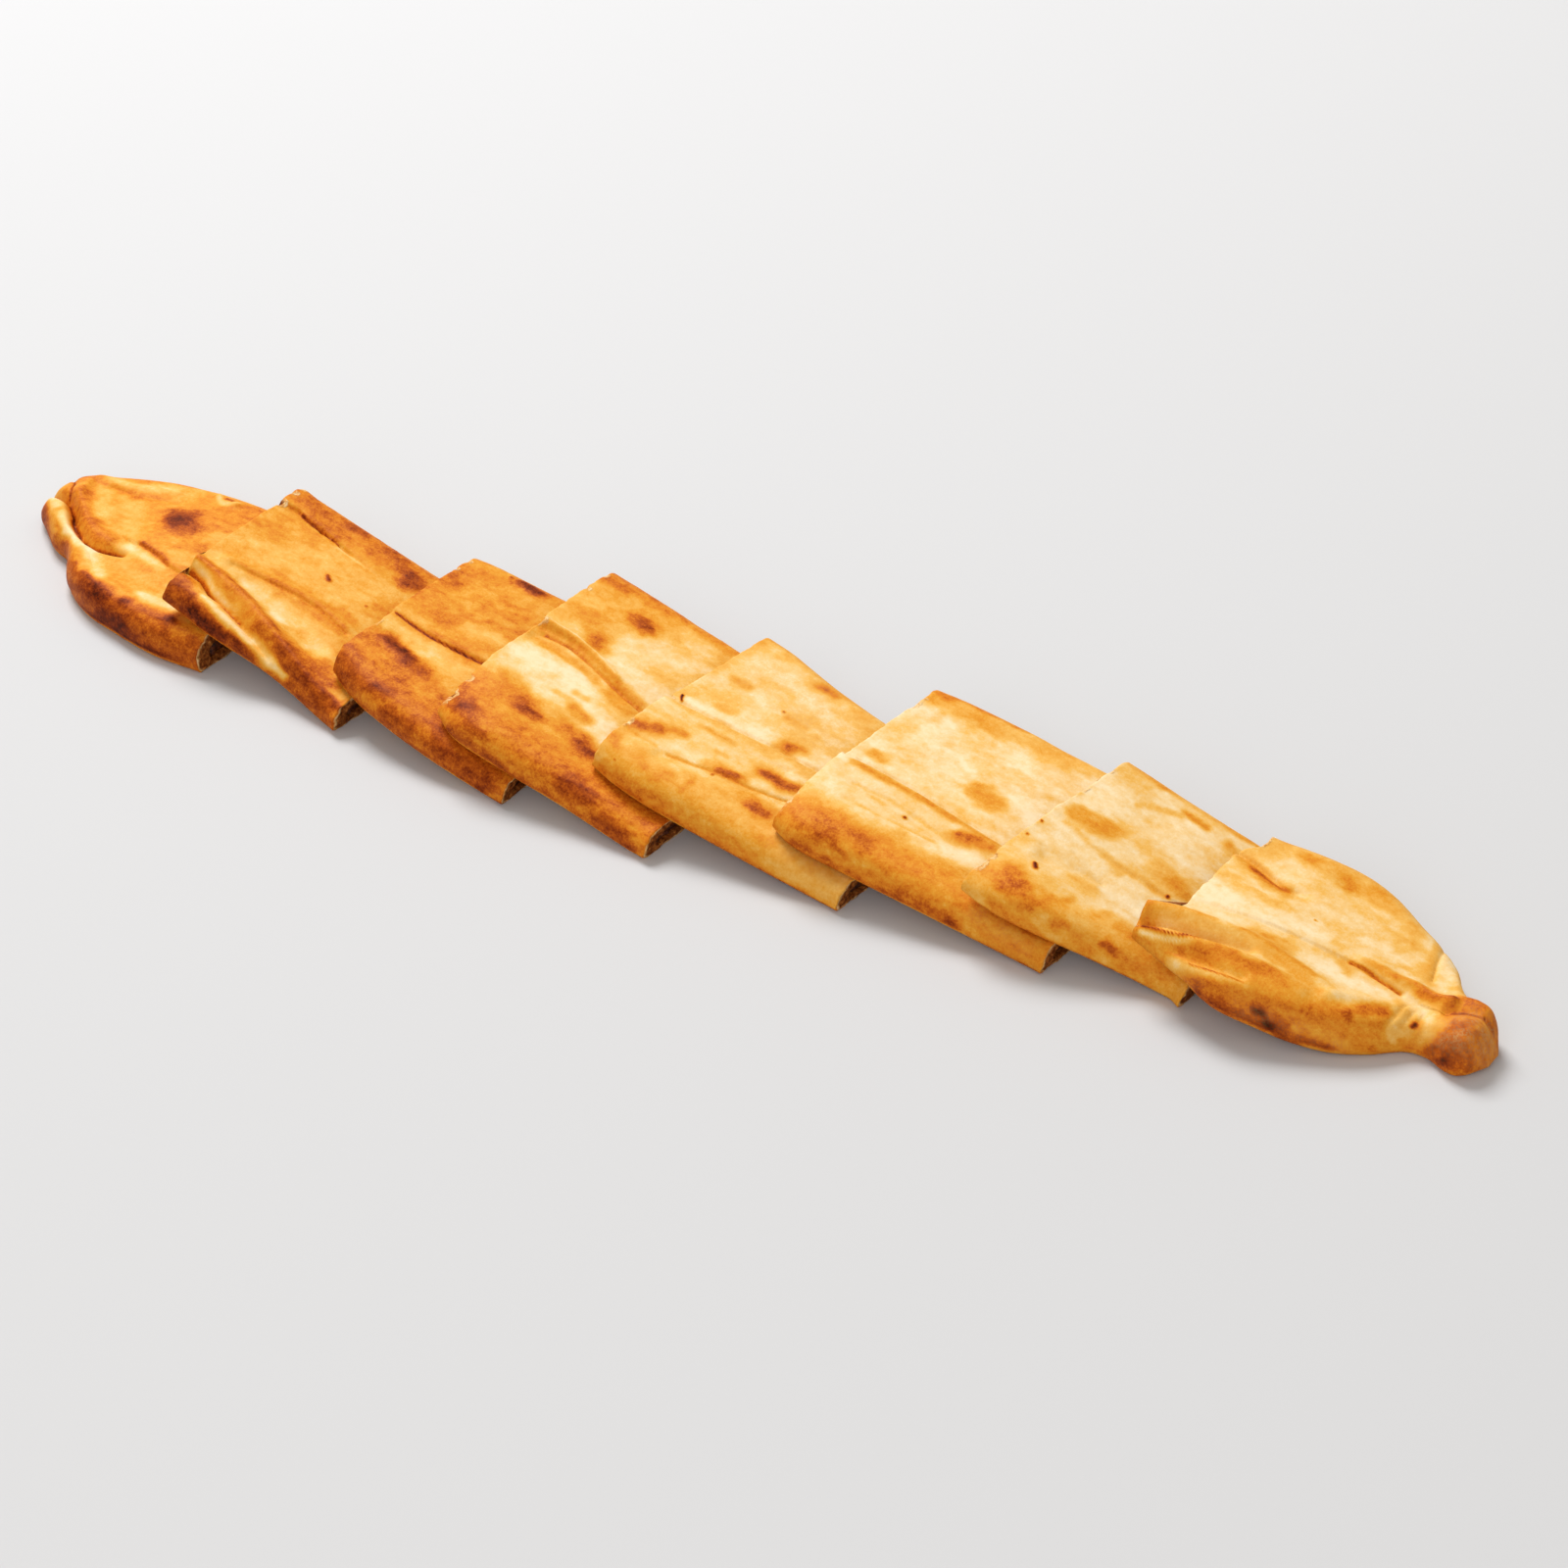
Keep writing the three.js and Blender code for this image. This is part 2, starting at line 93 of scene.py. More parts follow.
# ------------------------------------------------------------------ curves and noise


def ease(share):
    """Smooth step: 3 e^2 - 2 e^3 of the share held between 0 and 1."""
    e = np.clip(share, 0.0, 1.0)
    return e * e * (3 - 2 * e)


def mix(a, b, share):
    """a at share 0, b at share 1, and a straight line between them."""
    return a + (b - a) * share


def hashed(x, y, z, seed):
    """A fixed pseudo-random number from -1 to 1 for each whole-number cell."""
    h = x.astype(np.uint32) * np.uint32(374761393) + y.astype(np.uint32) * np.uint32(668265263)
    h += z.astype(np.uint32) * np.uint32(2246822519) + np.uint32(seed * 3266489917 % 2**32)
    h = (h ^ (h >> np.uint32(15))) * np.uint32(2246822519)
    h = (h ^ (h >> np.uint32(13))) * np.uint32(3266489917)
    return (h ^ (h >> np.uint32(16))).astype(np.float64) / 2147483647.5 - 1.0


def noise(points, size, seed):
    """Value noise: the hashed numbers of the eight cell corners round each point, blended
    by a smooth step. size is the cell's edge in mm, one number or one for each axis."""
    cells = points / np.broadcast_to(np.asarray(size, float), 3)
    low = np.floor(cells).astype(np.int64)
    fx, fy, fz = (ease(cells[..., i] - low[..., i]) for i in range(3))
    x, y, z = (low[..., i] for i in range(3))
    total = 0.0
    for dx in (0, 1):
        for dy in (0, 1):
            for dz in (0, 1):
                weight = (fx if dx else 1 - fx) * (fy if dy else 1 - fy) * (fz if dz else 1 - fz)
                total = total + weight * hashed(x + dx, y + dy, z + dz, seed)
    return total


def rough(points, size, seed, octaves=3):
    """Noise with finer layers, each half the size and half the height of the one before."""
    size = np.asarray(size, float)
    return sum(noise(points, size / 2**i, seed + i) / 2**i for i in range(octaves))


def curve_through(stations, x):
    """Smooth curves through the stations' columns at x: cubic Hermite pieces, whose slope
    at a station is that of the straight line between its two neighbours."""
    table = np.array(stations, float)
    knots, last = table[:, 0], len(table) - 1
    before = np.maximum(np.arange(last + 1) - 1, 0)
    after = np.minimum(np.arange(last + 1) + 1, last)
    slopes = (table[after] - table[before]) / (knots[after] - knots[before])[:, None]
    i = np.clip(np.searchsorted(knots, x, side="right") - 1, 0, last - 1)
    span = (knots[i + 1] - knots[i])[:, None]
    u = np.clip((x - knots[i])[:, None] / span, 0, 1)
    return (
        (2 * u**3 - 3 * u**2 + 1) * table[i]
        + (u**3 - 2 * u**2 + u) * span * slopes[i]
        + (3 * u**2 - 2 * u**3) * table[i + 1]
        + (u**3 - u**2) * span * slopes[i + 1]
    )


def nearest_on_line(line, x, y):
    """Nearest place of each [x, y] on a line: distance, side (1 far, -1 near), share of the
    line's length before it, and distance past the line's ends."""
    corners = np.array(line, float)
    if len(corners) == 1:
        gap = np.hypot(x - corners[0, 0], y - corners[0, 1])
        return gap, np.ones_like(gap), np.zeros_like(gap), gap
    lengths = np.hypot(*np.diff(corners, axis=0).T)
    gap = np.full(x.shape, np.inf)
    side, share, past = np.ones_like(gap), np.zeros_like(gap), np.zeros_like(gap)
    before = 0.0
    for i, length in enumerate(lengths):
        start = corners[i]
        ux, uy = (corners[i + 1] - start) / length
        run = (x - start[0]) * ux + (y - start[1]) * uy
        across = ux * (y - start[1]) - uy * (x - start[0])
        held = np.clip(run, 0, length)
        distance = np.hypot(across, run - held)
        closer = distance < gap
        gap = np.where(closer, distance, gap)
        side = np.where(closer, np.where(across < 0, -1.0, 1.0), side)
        share = np.where(closer, (before + held) / lengths.sum(), share)
        short = np.maximum(-run, 0) if i == 0 else 0
        long = np.maximum(run - length, 0) if i == len(lengths) - 1 else 0
        past = np.where(closer, short + long, past)
        before += length
    return gap, side, share, past


# ------------------------------------------------------------------ the eight pieces
#
# stations: (x of the near edge, near edge y, far edge y, height of the underside, thickness)
# skew: how far the far corner of the left and the right end lies right of the near corner
# tip: the end that is pinched shut instead of cut
# corner: share of the thickness that is left at the pressed near left corner
# near_wall: thickness of the folded dough at the near side of the filling
# hollow: where the filling's tunnel begins and ends, as shares of the length
# tongue: how far the pleats of the near left corner stick out to the left
# undercut: how far the near side under those pleats stands back to the right
# folds: (kind, height at its first point, at its last, half width, line); a ridge is a roll
#   or a valley, a crease a sharp one, a lap a step raised on its far or near side
# tones: how brown the top, the near side and the far side are, from 0 cream to 1 dark brown,
#   with how far in the two sides' tones reach, and mottle, what clouds add to the top; the
#   near side's darker tone is partly its real bake and partly painted shade
# marks: (tone, strength, half width, line) of each spot, streak or pale patch, and
#   for some the sharpness of the outline; the dark lines along creases, slits and a crack,
#   the brown face of a lap step and a knob's dark underside are painted shade
# flour: (strength, half width, line) of each floury patch
# notch: (y, half width, depth) of a bay in the left end
# nicks: (y, half width, depth) of each tear in the left cut's edge
#
# A line is a list of [x, y] corners, and a spot a line of one corner. Lines of marks and
# flour lie on the skin rolled out flat, see spread_out.


def piece(name, **given):
    """The description of one piece, with the usual value for what isn't given."""
    usual = dict(tip=None, corner=1.0, near_wall=9.0, hollow=(0.0, 1.0), tongue=0.0,
                 undercut=0.0, flour=(), notch=(), nicks=())
    return SimpleNamespace(name=name, **(usual | given))


# Where the two flaps of the left end are pinched together.
LEFT_PINCH = [(-329, 22), (-318, 17.5), (-310, 15), (-304, 9.5), (-297, 2), (-289, -4), (-282, -8),
              (-275, -9), (-266, -7.5)]

END_LEFT = piece(
    "end_left",
    tip="left",
    skew=(0, 5),
    near_wall=10.0,
    hollow=(0.5, 1.0),
    stations=[
        (-327, 15, 31, 0, 9),
        (-318, 8, 39.5, 0, 14),
        (-305, -2.5, 45, 0, 15),
        (-293, -8.5, 50.5, 0, 15),
        (-281, -23, 53.5, 0, 15),
        (-264, -34.5, 54.8, 0, 15),
        (-245, -40.5, 54, 0, 15.2),
        (-223, -45.5, 51.5, 0, 15),
        (-201, -46, 49, 0, 14.6),
    ],
    folds=[
        ("ridge", -4.6, -2.2, 2.2, LEFT_PINCH),
        ("crease", -3.6, -1.8, 0.8, LEFT_PINCH),
        ("ridge", 1.2, 1.4, 3.5, [(-314, 22), (-304, 15), (-296, 8), (-286, 1), (-276, -3)]),
        ("far lap", 1.8, 0.8, 2.2, [(-263, -1), (-252, -4), (-243, -8.5), (-230, -11)]),
        ("crease", -0.8, -1.2, 0.7, [(-263, -0.5), (-252, -3.5), (-243, -8), (-230, -11)]),
        ("ridge", -1.6, -1, 9, [(-268, -18), (-232, -22)]),
        ("ridge", 1.0, 0.5, 3, [(-300, -2), (-284, -11), (-266, -22)]),
        ("ridge", 1.0, 0.8, 2.8, [(-310, 35), (-298, 34), (-288, 37), (-276, 41)]),
        ("crease", -0.9, -0.5, 1.4, [(-302, 31), (-286, 31), (-270, 34)]),
        ("ridge", 1.6, 1.4, 2.2, [(-260, 46), (-250, 44)]),
        ("crease", -1.4, -1.0, 0.9, [(-257, 45.5), (-252, 45)]),
        ("crease", -0.8, -0.5, 0.8, [(-304, -1), (-290, -8), (-276, -15), (-266, -24)]),
        ("crease", -2.2, -1.4, 1.0, [(-322, 33), (-316.5, 26), (-311.5, 17)]),
        ("ridge", 1.4, 1.0, 2.6, [(-312, 29), (-308, 20)]),
    ],
    tones=SimpleNamespace(top=0.36, mottle=0.14, near=0.7, near_reach=3, far=0.46, far_reach=7),
    marks=[
        (0.18, 0.8, 3.2, [(-310, 35.5), (-298, 34.5), (-288, 37), (-278, 40.5)]),
        (0.27, 0.75, 3.8, [(-301, 27), (-295, 18), (-290, 12)]),
        (0.3, 0.5, 5, [(-285, 22), (-272, 14)]),
        # Painted shade: a darker line in the crease at y 31.
        (0.5, 0.6, 1.8, [(-302, 31), (-286, 30.5), (-270, 34)]),
        (0.62, 0.85, 3.0, [(-308, 23), (-303, 17), (-297, 9), (-290, 3.5), (-282, 0), (-275, -3)]),
        (0.54, 0.6, 2.2, [(-306, 12), (-298, 5), (-288, -2), (-280, -5)]),
        (0.62, 0.75, 4, [(-319, 33), (-310, 35)]),
        (0.54, 0.6, 4, [(-316, 27), (-311, 20)]),
        (0.1, 0.9, 4.2, [(-320, 15), (-311, 9), (-304, 3), (-297, -4)]),
        (0.5, 0.7, 1.6, [(-312, 4), (-309, 7), (-307, 11)]),
        (0.05, 0.95, 3.4, [(-297, -4), (-288, -9), (-278, -12), (-270, -18), (-262, -26)]),
        (0.6, 0.6, 2, [(-306, -3), (-298, -12)]),
        (0.3, 0.6, 3, [(-312, 4), (-306, -6)]),
        (0.62, 0.75, 5, [(-284, -19), (-279, -28)]),
        (0.74, 0.7, 2.6, [(-279, -24), (-277, -28)]),
        (0.08, 0.85, 3.0, [(-266, -3), (-256, -5.5), (-246, -8.5)]),
        (0.36, 0.85, 8.5, [(-264, -15), (-240, -20)]),
        (0.46, 0.6, 3, [(-258, -10), (-246, -12)]),
        (0.08, 0.85, 3.0, [(-240, -28), (-228, -30.5), (-222, -31.5)]),
        # Painted shade: a dark line in the far lap's crease.
        (0.7, 0.75, 1.4, [(-262, 0), (-252, -3), (-244, -7)]),
        (0.58, 0.7, 11.5, [(-259, 22)]),
        (0.78, 0.97, 7.8, [(-261, 24), (-256, 19)], 5),
        (0.88, 0.7, 5, [(-259.5, 22.5)]),
        (0.58, 0.5, 5, [(-252, 15), (-248, 12)]),
        (0.56, 0.7, 7, [(-262, 40), (-240, 38)]),
        (0.56, 0.7, 6, [(-250, 26), (-240, 32)]),
        (0.6, 0.7, 2.2, [(-316, 21), (-308, 17.5), (-302, 12), (-295, 5.5), (-287, -1), (-280, -5),
                         (-273, -6)]),
        # Painted shade: dark lines down the pinch and the crease beside it.
        (0.95, 0.9, 0.9, [(-326, 21.5), *LEFT_PINCH[1:]]),
        (0.85, 0.7, 0.7, [(-321, 32), (-316.5, 26), (-312, 18)]),
        (0.12, 0.8, 1.6, [(-259, 45), (-255, 42), (-250, 45)]),
        # Painted shade in the short crease.
        (0.8, 0.8, 1.2, [(-256, 45.5), (-253, 45)]),
        (0.72, 0.95, 11, [(-268, -38), (-254, -44), (-236, -46)], 5),
        (0.66, 0.85, 9, [(-225, -43), (-206, -47)], 4),
        (0.88, 0.9, 4.5, [(-261, -36), (-253, -38)]),
        (0.88, 0.85, 3.5, [(-242, -36)]),
        (0.92, 0.9, 5.5, [(-250, -48), (-241, -50)]),
        (0.88, 0.8, 4, [(-236, -56), (-225, -58)]),
        (0.88, 0.7, 3, [(-219, -38)]),
        (0.74, 0.8, 3, [(-270, -28), (-264, -34)]),
        (0.55, 0.5, 2.5, [(-213, -45), (-208, -42)]),
        (0.92, 0.8, 2.6, [(-270, -46), (-240, -57), (-210, -60)]),
    ],
    nicks=[(-46, 4, 0.8)],
)

SLICE_2 = piece(
    "slice_2",
    skew=(3, 6),
    corner=0.6,
    near_wall=20.0,
    stations=[
        (-220, -37, 47.5, 20.6, 12),
        (-211, -38.5, 47, 18.2, 12),
        (-197, -41, 46.5, 14.6, 12),
        (-166, -43.5, 44.5, 7.2, 12),
        (-137, -50.5, 42.5, 0.2, 12),
        (-130.5, -53, 41, 0, 12),
    ],
    folds=[
        ("ridge", -2.4, -3.4, 2.8,
         [(-222, -23.5), (-212, -26), (-205, -30), (-196, -32.5), (-188, -35), (-178, -38.5),
          (-166, -43), (-156, -48)]),
        ("crease", -2.6, -1.6, 0.8,
         [(-222, -22.5), (-212, -25), (-205, -29.5), (-196, -32), (-188, -34.5), (-178, -38),
          (-168, -42)]),
        ("ridge", 2.6, 2, 3.2,
         [(-219, -19), (-205, -22.5), (-195, -25), (-186, -28), (-176, -33), (-161, -40),
          (-143, -49)]),
        ("ridge", -1, -1.6, 5, [(-198, -19), (-176, -22), (-158, -28)]),
        ("ridge", 1.3, 0.6, 3, [(-210, -12), (-190, -9.5), (-172, -8), (-156, -12)]),
        ("crease", -0.8, -1.1, 0.8,
         [(-207, -13), (-190, -11), (-178, -10), (-168, -10.5), (-154, -14.5)]),
        ("far lap", 1.5, 0.4, 1.2,
         [(-220, 31), (-210, 31.5), (-203, 29.5), (-190, 27.5), (-172, 23.5)]),
        ("crease", -0.5, -2.2, 0.5, [(-214, 31.5), (-209, 31), (-203, 29.5), (-196, 28.5)]),
        ("crease", -2.2, -0.8, 0.5, [(-196, 28.5), (-188, 27), (-180, 25)]),
        ("crease", -0.5, -0.3, 0.6, [(-186, 26), (-172, 23.5)]),
    ],
    tones=SimpleNamespace(top=0.32, mottle=0.14, near=0.7, near_reach=4, far=0.52, far_reach=15),
    marks=[
        (0.58, 0.75, 8, [(-216, 37), (-190, 35), (-160, 33)]),
        (0.64, 0.7, 4, [(-209, 38), (-202, 36)]),
        (0.76, 0.75, 3.2, [(-191, 39.5), (-185, 39)]),
        (0.72, 0.75, 4, [(-171, 38), (-164, 36)]),
        (0.6, 0.6, 7, [(-155, 29)]),
        (0.82, 0.9, 4.4, [(-156, 31), (-154, 27)]),
        (0.52, 0.6, 3, [(-207, 12)]),
        (0.52, 0.6, 4, [(-199, 25), (-196, 22)]),
        (0.97, 0.9, 1.3, [(-178.5, 7.5), (-177, 6)]),
        (0.8, 0.8, 0.8, [(-158, 4)]),
        (0.22, 0.5, 8, [(-195, 10), (-185, 4)]),
        (0.48, 0.6, 4, [(-216, -5), (-208, -8)]),
        (0.48, 0.6, 4, [(-192, -5), (-182, -6)]),
        (0.46, 0.5, 5, [(-172, 18), (-165, 14)]),
        # Painted shade along the crease under the low ridge.
        (0.58, 0.75, 1.8, [(-207, -12), (-190, -10), (-178, -9), (-168, -9.5), (-155, -13.5)]),
        (0.5, 0.6, 3, [(-185, -13), (-170, -13), (-158, -16)]),
        (0.22, 0.7, 4, [(-216, -14), (-200, -17)]),
        (0.12, 0.85, 4.6, [(-197, -18), (-182, -20), (-168, -23.5), (-156, -28)]),
        (0.04, 0.7, 2.0, [(-180, -23.5), (-168, -27), (-160, -30.5)]),
        (0.42, 0.75, 4, [(-171, -27), (-167, -26)]),
        (0.62, 0.85, 2.4, [(-217, -18.5), (-205, -21), (-195, -23.5), (-186, -27), (-176, -32)]),
        (0.58, 0.8, 3, [(-212, -22), (-200, -26), (-190, -29), (-180, -34)]),
        (0.66, 0.85, 4.5, [(-178, -34), (-168, -37), (-158, -41), (-148, -46)]),
        (0.76, 0.8, 4, [(-164, -39), (-154, -44), (-145, -50), (-137, -55)]),
        (0.6, 0.6, 5, [(-156, -36), (-142, -40)]),
        (0.74, 0.5, 4, [(-150, -38), (-144, -42)]),
        (0.2, 0.85, 4.0, [(-203, -35.5), (-195, -38.5), (-185, -41), (-175, -44.5), (-168, -47.5)]),
        (0.06, 0.8, 1.6, [(-205, -35.4), (-196, -38.2), (-187, -40.4), (-178, -43.6)]),
        (0.34, 0.6, 1.2, [(-196, -35.8), (-188, -38.2), (-180, -41.4)]),
        (0.14, 0.9, 2.4, [(-168, -47), (-160, -50.5)]),
        (0.2, 0.8, 1.0, [(-218, -21.2), (-211, -23.8), (-204, -28), (-195, -31)]),
        (0.72, 0.85, 5.5, [(-217, -30), (-213, -42)], 4),
        (0.86, 0.85, 3.4, [(-208, -45), (-198, -45), (-188, -47.5), (-176, -52)]),
        (0.9, 0.7, 3, [(-200, -48), (-190, -50)]),
        # Painted shade: dark lines in the near crease, the far lap's crease and the crack.
        (0.8, 0.8, 0.6, [(-218, -22.7), (-211, -25.3), (-204, -29.7), (-195, -32.2), (-187, -35)]),
        (0.66, 0.7, 0.6, [(-218, 31.2), (-210, 31.2), (-206, 30.4)]),
        (0.9, 0.9, 0.5, [(-207, 30.8), (-201, 29.3), (-196, 28.5), (-190, 27.4), (-187, 26.6)]),
        (0.66, 0.6, 1.6, [(-204, 31), (-196, 29.6), (-189, 28.2)]),
        (0.1, 0.6, 0.7, [(-186, 25), (-178, 23.8), (-172, 22.5)]),
    ],
    nicks=[(45, 3.0, 2.0), (38.5, 1.6, 1.6), (31, 2.0, 1.6)],
)

SLICE_3 = piece(
    "slice_3",
    skew=(5, 3),
    corner=0.95,
    stations=[
        (-140.5, -38.5, 48.5, 14.8, 12),
        (-131.5, -44, 49.5, 13, 12),
        (-118, -49.5, 50, 10.6, 11.8),
        (-86.5, -56.5, 50.5, 5.2, 11.4),
        (-57, -60, 52, 0.1, 10.9),
        (-50.5, -61.5, 52, 0, 10.6),
    ],
    folds=[
        ("far lap", 0.8, 1.3, 1.1,
         [(-141, -4.5), (-125, -7), (-115, -8), (-100, -7.5), (-84, -7.5)]),
        ("ridge", -0.8, -0.5, 8, [(-128, -16), (-96, -18)]),
        ("crease", -0.6, -1.8, 0.6,
         [(-139, -5), (-125, -7.2), (-115, -8.2), (-100, -7.8), (-84, -8)]),
        ("crease", -0.3, -0.2, 0.6, [(-122, -14), (-98, -16)]),
        ("ridge", 0.5, 0.5, 3.5, [(-130, -21), (-116, -25)]),
    ],
    tones=SimpleNamespace(top=0.38, mottle=0.14, near=0.58, near_reach=27, far=0.5, far_reach=9),
    marks=[
        (0.22, 0.85, 4, [(-137, -12), (-125, -12), (-112, -13)]),
        (0.06, 0.8, 3, [(-116, -18), (-112, -17)]),
        (0.26, 0.85, 8, [(-108, -17), (-96, -19)]),
        (0.34, 0.6, 4, [(-102, -28), (-94, -26)]),
        (0.36, 0.6, 3, [(-136, -2), (-110, -3), (-96, -4)]),
        (0.52, 0.5, 2, [(-138, 2), (-118, 1)]),
        (0.2, 0.7, 5, [(-110, 6), (-100, 6)]),
        (0.66, 0.75, 6, [(-132, -20), (-112, -27)]),
        (0.78, 0.95, 3.6, [(-131, -20), (-124, -21.5), (-117, -25)]),
        (0.85, 0.75, 2.4, [(-128, -20.5), (-119, -24)]),
        (0.66, 0.6, 3.5, [(-112, -27), (-104, -30)]),
        (0.54, 0.6, 4, [(-106, -34), (-97, -33)]),
        (0.62, 0.7, 5, [(-135, 25), (-131, 23)]),
        (0.52, 0.6, 3, [(-119, 22), (-115, 22)]),
        (0.6, 0.6, 5, [(-128, 38), (-122, 37)]),
        (0.56, 0.6, 5, [(-137, 36)]),
        (0.74, 0.6, 4.5, [(-115, 43), (-104, 42)]),
        (0.9, 0.9, 2.8, [(-113, 43.5), (-106, 42)]),
        (0.9, 0.8, 1, [(-118.5, 43.5)]),
        (0.6, 0.7, 1.2, [(-115, 13.5)]),
        (0.72, 0.7, 6, [(-137, -43), (-130, -47)]),
        (0.8, 0.75, 4.5, [(-121, -49), (-113, -47)]),
        (0.66, 0.5, 4, [(-122, -35), (-112, -37)]),
        (0.74, 0.7, 4, [(-109, -56), (-105, -59)]),
        (0.78, 0.7, 5, [(-101, -57), (-95, -59)]),
        (0.68, 0.6, 8, [(-100, -48), (-80, -50)]),
        (0.82, 0.8, 4, [(-84, -60), (-79, -61)]),
        (0.82, 0.8, 5, [(-70, -62), (-60, -64)]),
        (0.78, 0.6, 7, [(-80, -56), (-60, -57)]),
        (0.84, 0.6, 3, [(-138, -52), (-120, -60), (-95, -66), (-60, -70)]),
        # Painted shade: a dark line in the lap's crease.
        (0.92, 0.85, 0.4, [(-137, -5.2), (-125, -7.2), (-115, -8.2), (-100, -7.8), (-86, -8)]),
    ],
    nicks=[(40, 1.5, 0.8), (33, 1.2, 0.9), (-14, 2.5, 0.7)],
)

SLICE_4 = piece(
    "slice_4",
    skew=(5.5, 8),
    corner=0.5,
    stations=[
        (-86, -47.5, 60.5, 19, 12.2),
        (-76, -54.5, 59.5, 16.8, 12.2),
        (-61.5, -57, 58, 13.6, 12),
        (-27, -59, 53.5, 6.5, 11.5),
        (5, -62.5, 48.5, 0.1, 10.8),
        (12, -64, 47, 0, 10.5),
    ],
    folds=[
        ("far lap", 1.6, 0.6, 1.8,
         [(-87, 10), (-76, 9.5), (-66, 9), (-56, 6), (-45, 1.5), (-33, -2), (-22, -5)]),
        ("ridge", -1.2, -0.6, 3, [(-80, 3), (-58, 0), (-38, -5)]),
        ("crease", -1.0, -1.3, 0.7,
         [(-78, 6.3), (-66, 6.5), (-54, 3.3), (-44, -0.2), (-34, -3.2), (-25, -6)]),
        ("ridge", 0.9, 0.5, 1.6, [(-82, 12), (-68, 11.5), (-56, 8.5), (-44, 3.5)]),
        ("crease", -0.6, -0.3, 0.6, [(-80, 9), (-66, 9), (-54, 5.5), (-44, 1.5)]),
    ],
    tones=SimpleNamespace(top=0.2, mottle=0.18, near=0.55, near_reach=24, far=0.5, far_reach=11),
    marks=[
        (0.34, 0.7, 9, [(-76, 38), (-64, 30)]),
        (0.08, 0.85, 9, [(-50, 26), (-36, 26)]),
        (0.06, 0.85, 7, [(-52, 12), (-40, 8), (-30, 4)]),
        (0.2, 0.6, 5, [(-75, 13), (-60, 11)]),
        (0.0, 0.95, 9, [(-74, -9), (-60, -9), (-52, -12)], 3),
        (0.06, 0.7, 5, [(-64, -20), (-50, -22)]),
        (0.02, 0.9, 6, [(-44, -18), (-34, -22)]),
        (0.04, 0.85, 4.5, [(-36, -26), (-30, -29)]),
        (0.04, 0.7, 4, [(-66, -21), (-56, -21)]),
        (0.5, 0.85, 4, [(-43, -3), (-36, -7), (-31, -9)]),
        (0.46, 0.7, 2.4, [(-74, 2), (-60, 1), (-50, -2)]),
        (0.26, 0.8, 2.4, [(-61, -12.5)]),
        (0.38, 0.8, 1.8, [(-51, -14), (-46, -14)]),
        (0.32, 0.8, 1.4, [(-57, -18.5), (-50, -18)]),
        (0.58, 0.85, 3.0, [(-47, -21.5), (-39, -23.5)]),
        (0.42, 0.75, 4.5, [(-74, -23), (-69, -25)]),
        (0.24, 0.6, 2, [(-76, -13)]),
        (0.56, 0.7, 6, [(-80, -32), (-62, -31)]),
        (0.7, 0.85, 4.2, [(-62, -32), (-54, -35)]),
        (0.74, 0.6, 2.5, [(-60, -35), (-53, -36)]),
        (0.58, 0.6, 4, [(-42, -34), (-36, -33)]),
        (0.78, 0.85, 4.5, [(-34, -36), (-29, -38)]),
        (0.46, 0.6, 6, [(-48, -40), (-38, -44)]),
        (0.74, 0.7, 7, [(-80, -46), (-74, -50)]),
        (0.76, 0.6, 3.5, [(-76, -45), (-78, -52)]),
        (0.78, 0.7, 4, [(-70, -57), (-64, -57)]),
        (0.62, 0.5, 7, [(-50, -50), (-36, -52)]),
        (0.8, 0.75, 5.5, [(-26, -58), (-16, -60)]),
        (0.82, 0.75, 4.5, [(-8, -66), (2, -67)]),
        (0.68, 0.5, 5, [(-20, -46), (10, -52)]),
        (0.86, 0.6, 3, [(-76, -64), (-50, -68), (-20, -70), (8, -72)]),
        (0.5, 0.5, 8, [(-56, 37)]),
        (0.7, 0.9, 4.8, [(-57, 38), (-53, 35.5)]),
        (0.8, 0.7, 2.2, [(-54, 36)]),
        (0.66, 0.85, 5.2, [(-62, 17), (-60, 14)]),
        (0.54, 0.7, 5, [(-77, 24), (-70, 25)]),
        (0.3, 0.6, 5, [(-34, 18), (-32, 17)]),
        (0.68, 0.75, 4, [(-79, 50), (-71, 49)]),
        (0.54, 0.6, 5, [(-58, 48), (-46, 49)]),
        (0.54, 0.6, 3.5, [(-66, 53), (-40, 50), (-22, 47)]),
        (0.48, 0.5, 2.4, [(-68, 33)]),
        # Painted shade: the lap step's face, turned from the light, is browned.
        (0.5, 0.9, 2.4, [(-81, 9.4), (-66, 9.2), (-54, 5.7), (-42, 1.2), (-30, -2.4)]),
        (0.1, 0.7, 0.6, [(-82, 12.6), (-68, 12.2), (-58, 9.8), (-46, 4.6)]),
        # Painted shade: a dark line in the lap's crease.
        (0.64, 0.8, 0.8, [(-77, 6.3), (-66, 6.6), (-54, 3.3), (-44, -0.2), (-34, -3.2),
                          (-26, -5.7)]),
    ],
    nicks=[(51, 1.5, 1.2), (40, 1.5, 0.7), (11.5, 3.2, 1.5), (-32, 1.6, 1.4), (-41, 2.6, 1.6),
           (-45, 2.0, 0.9)],
)

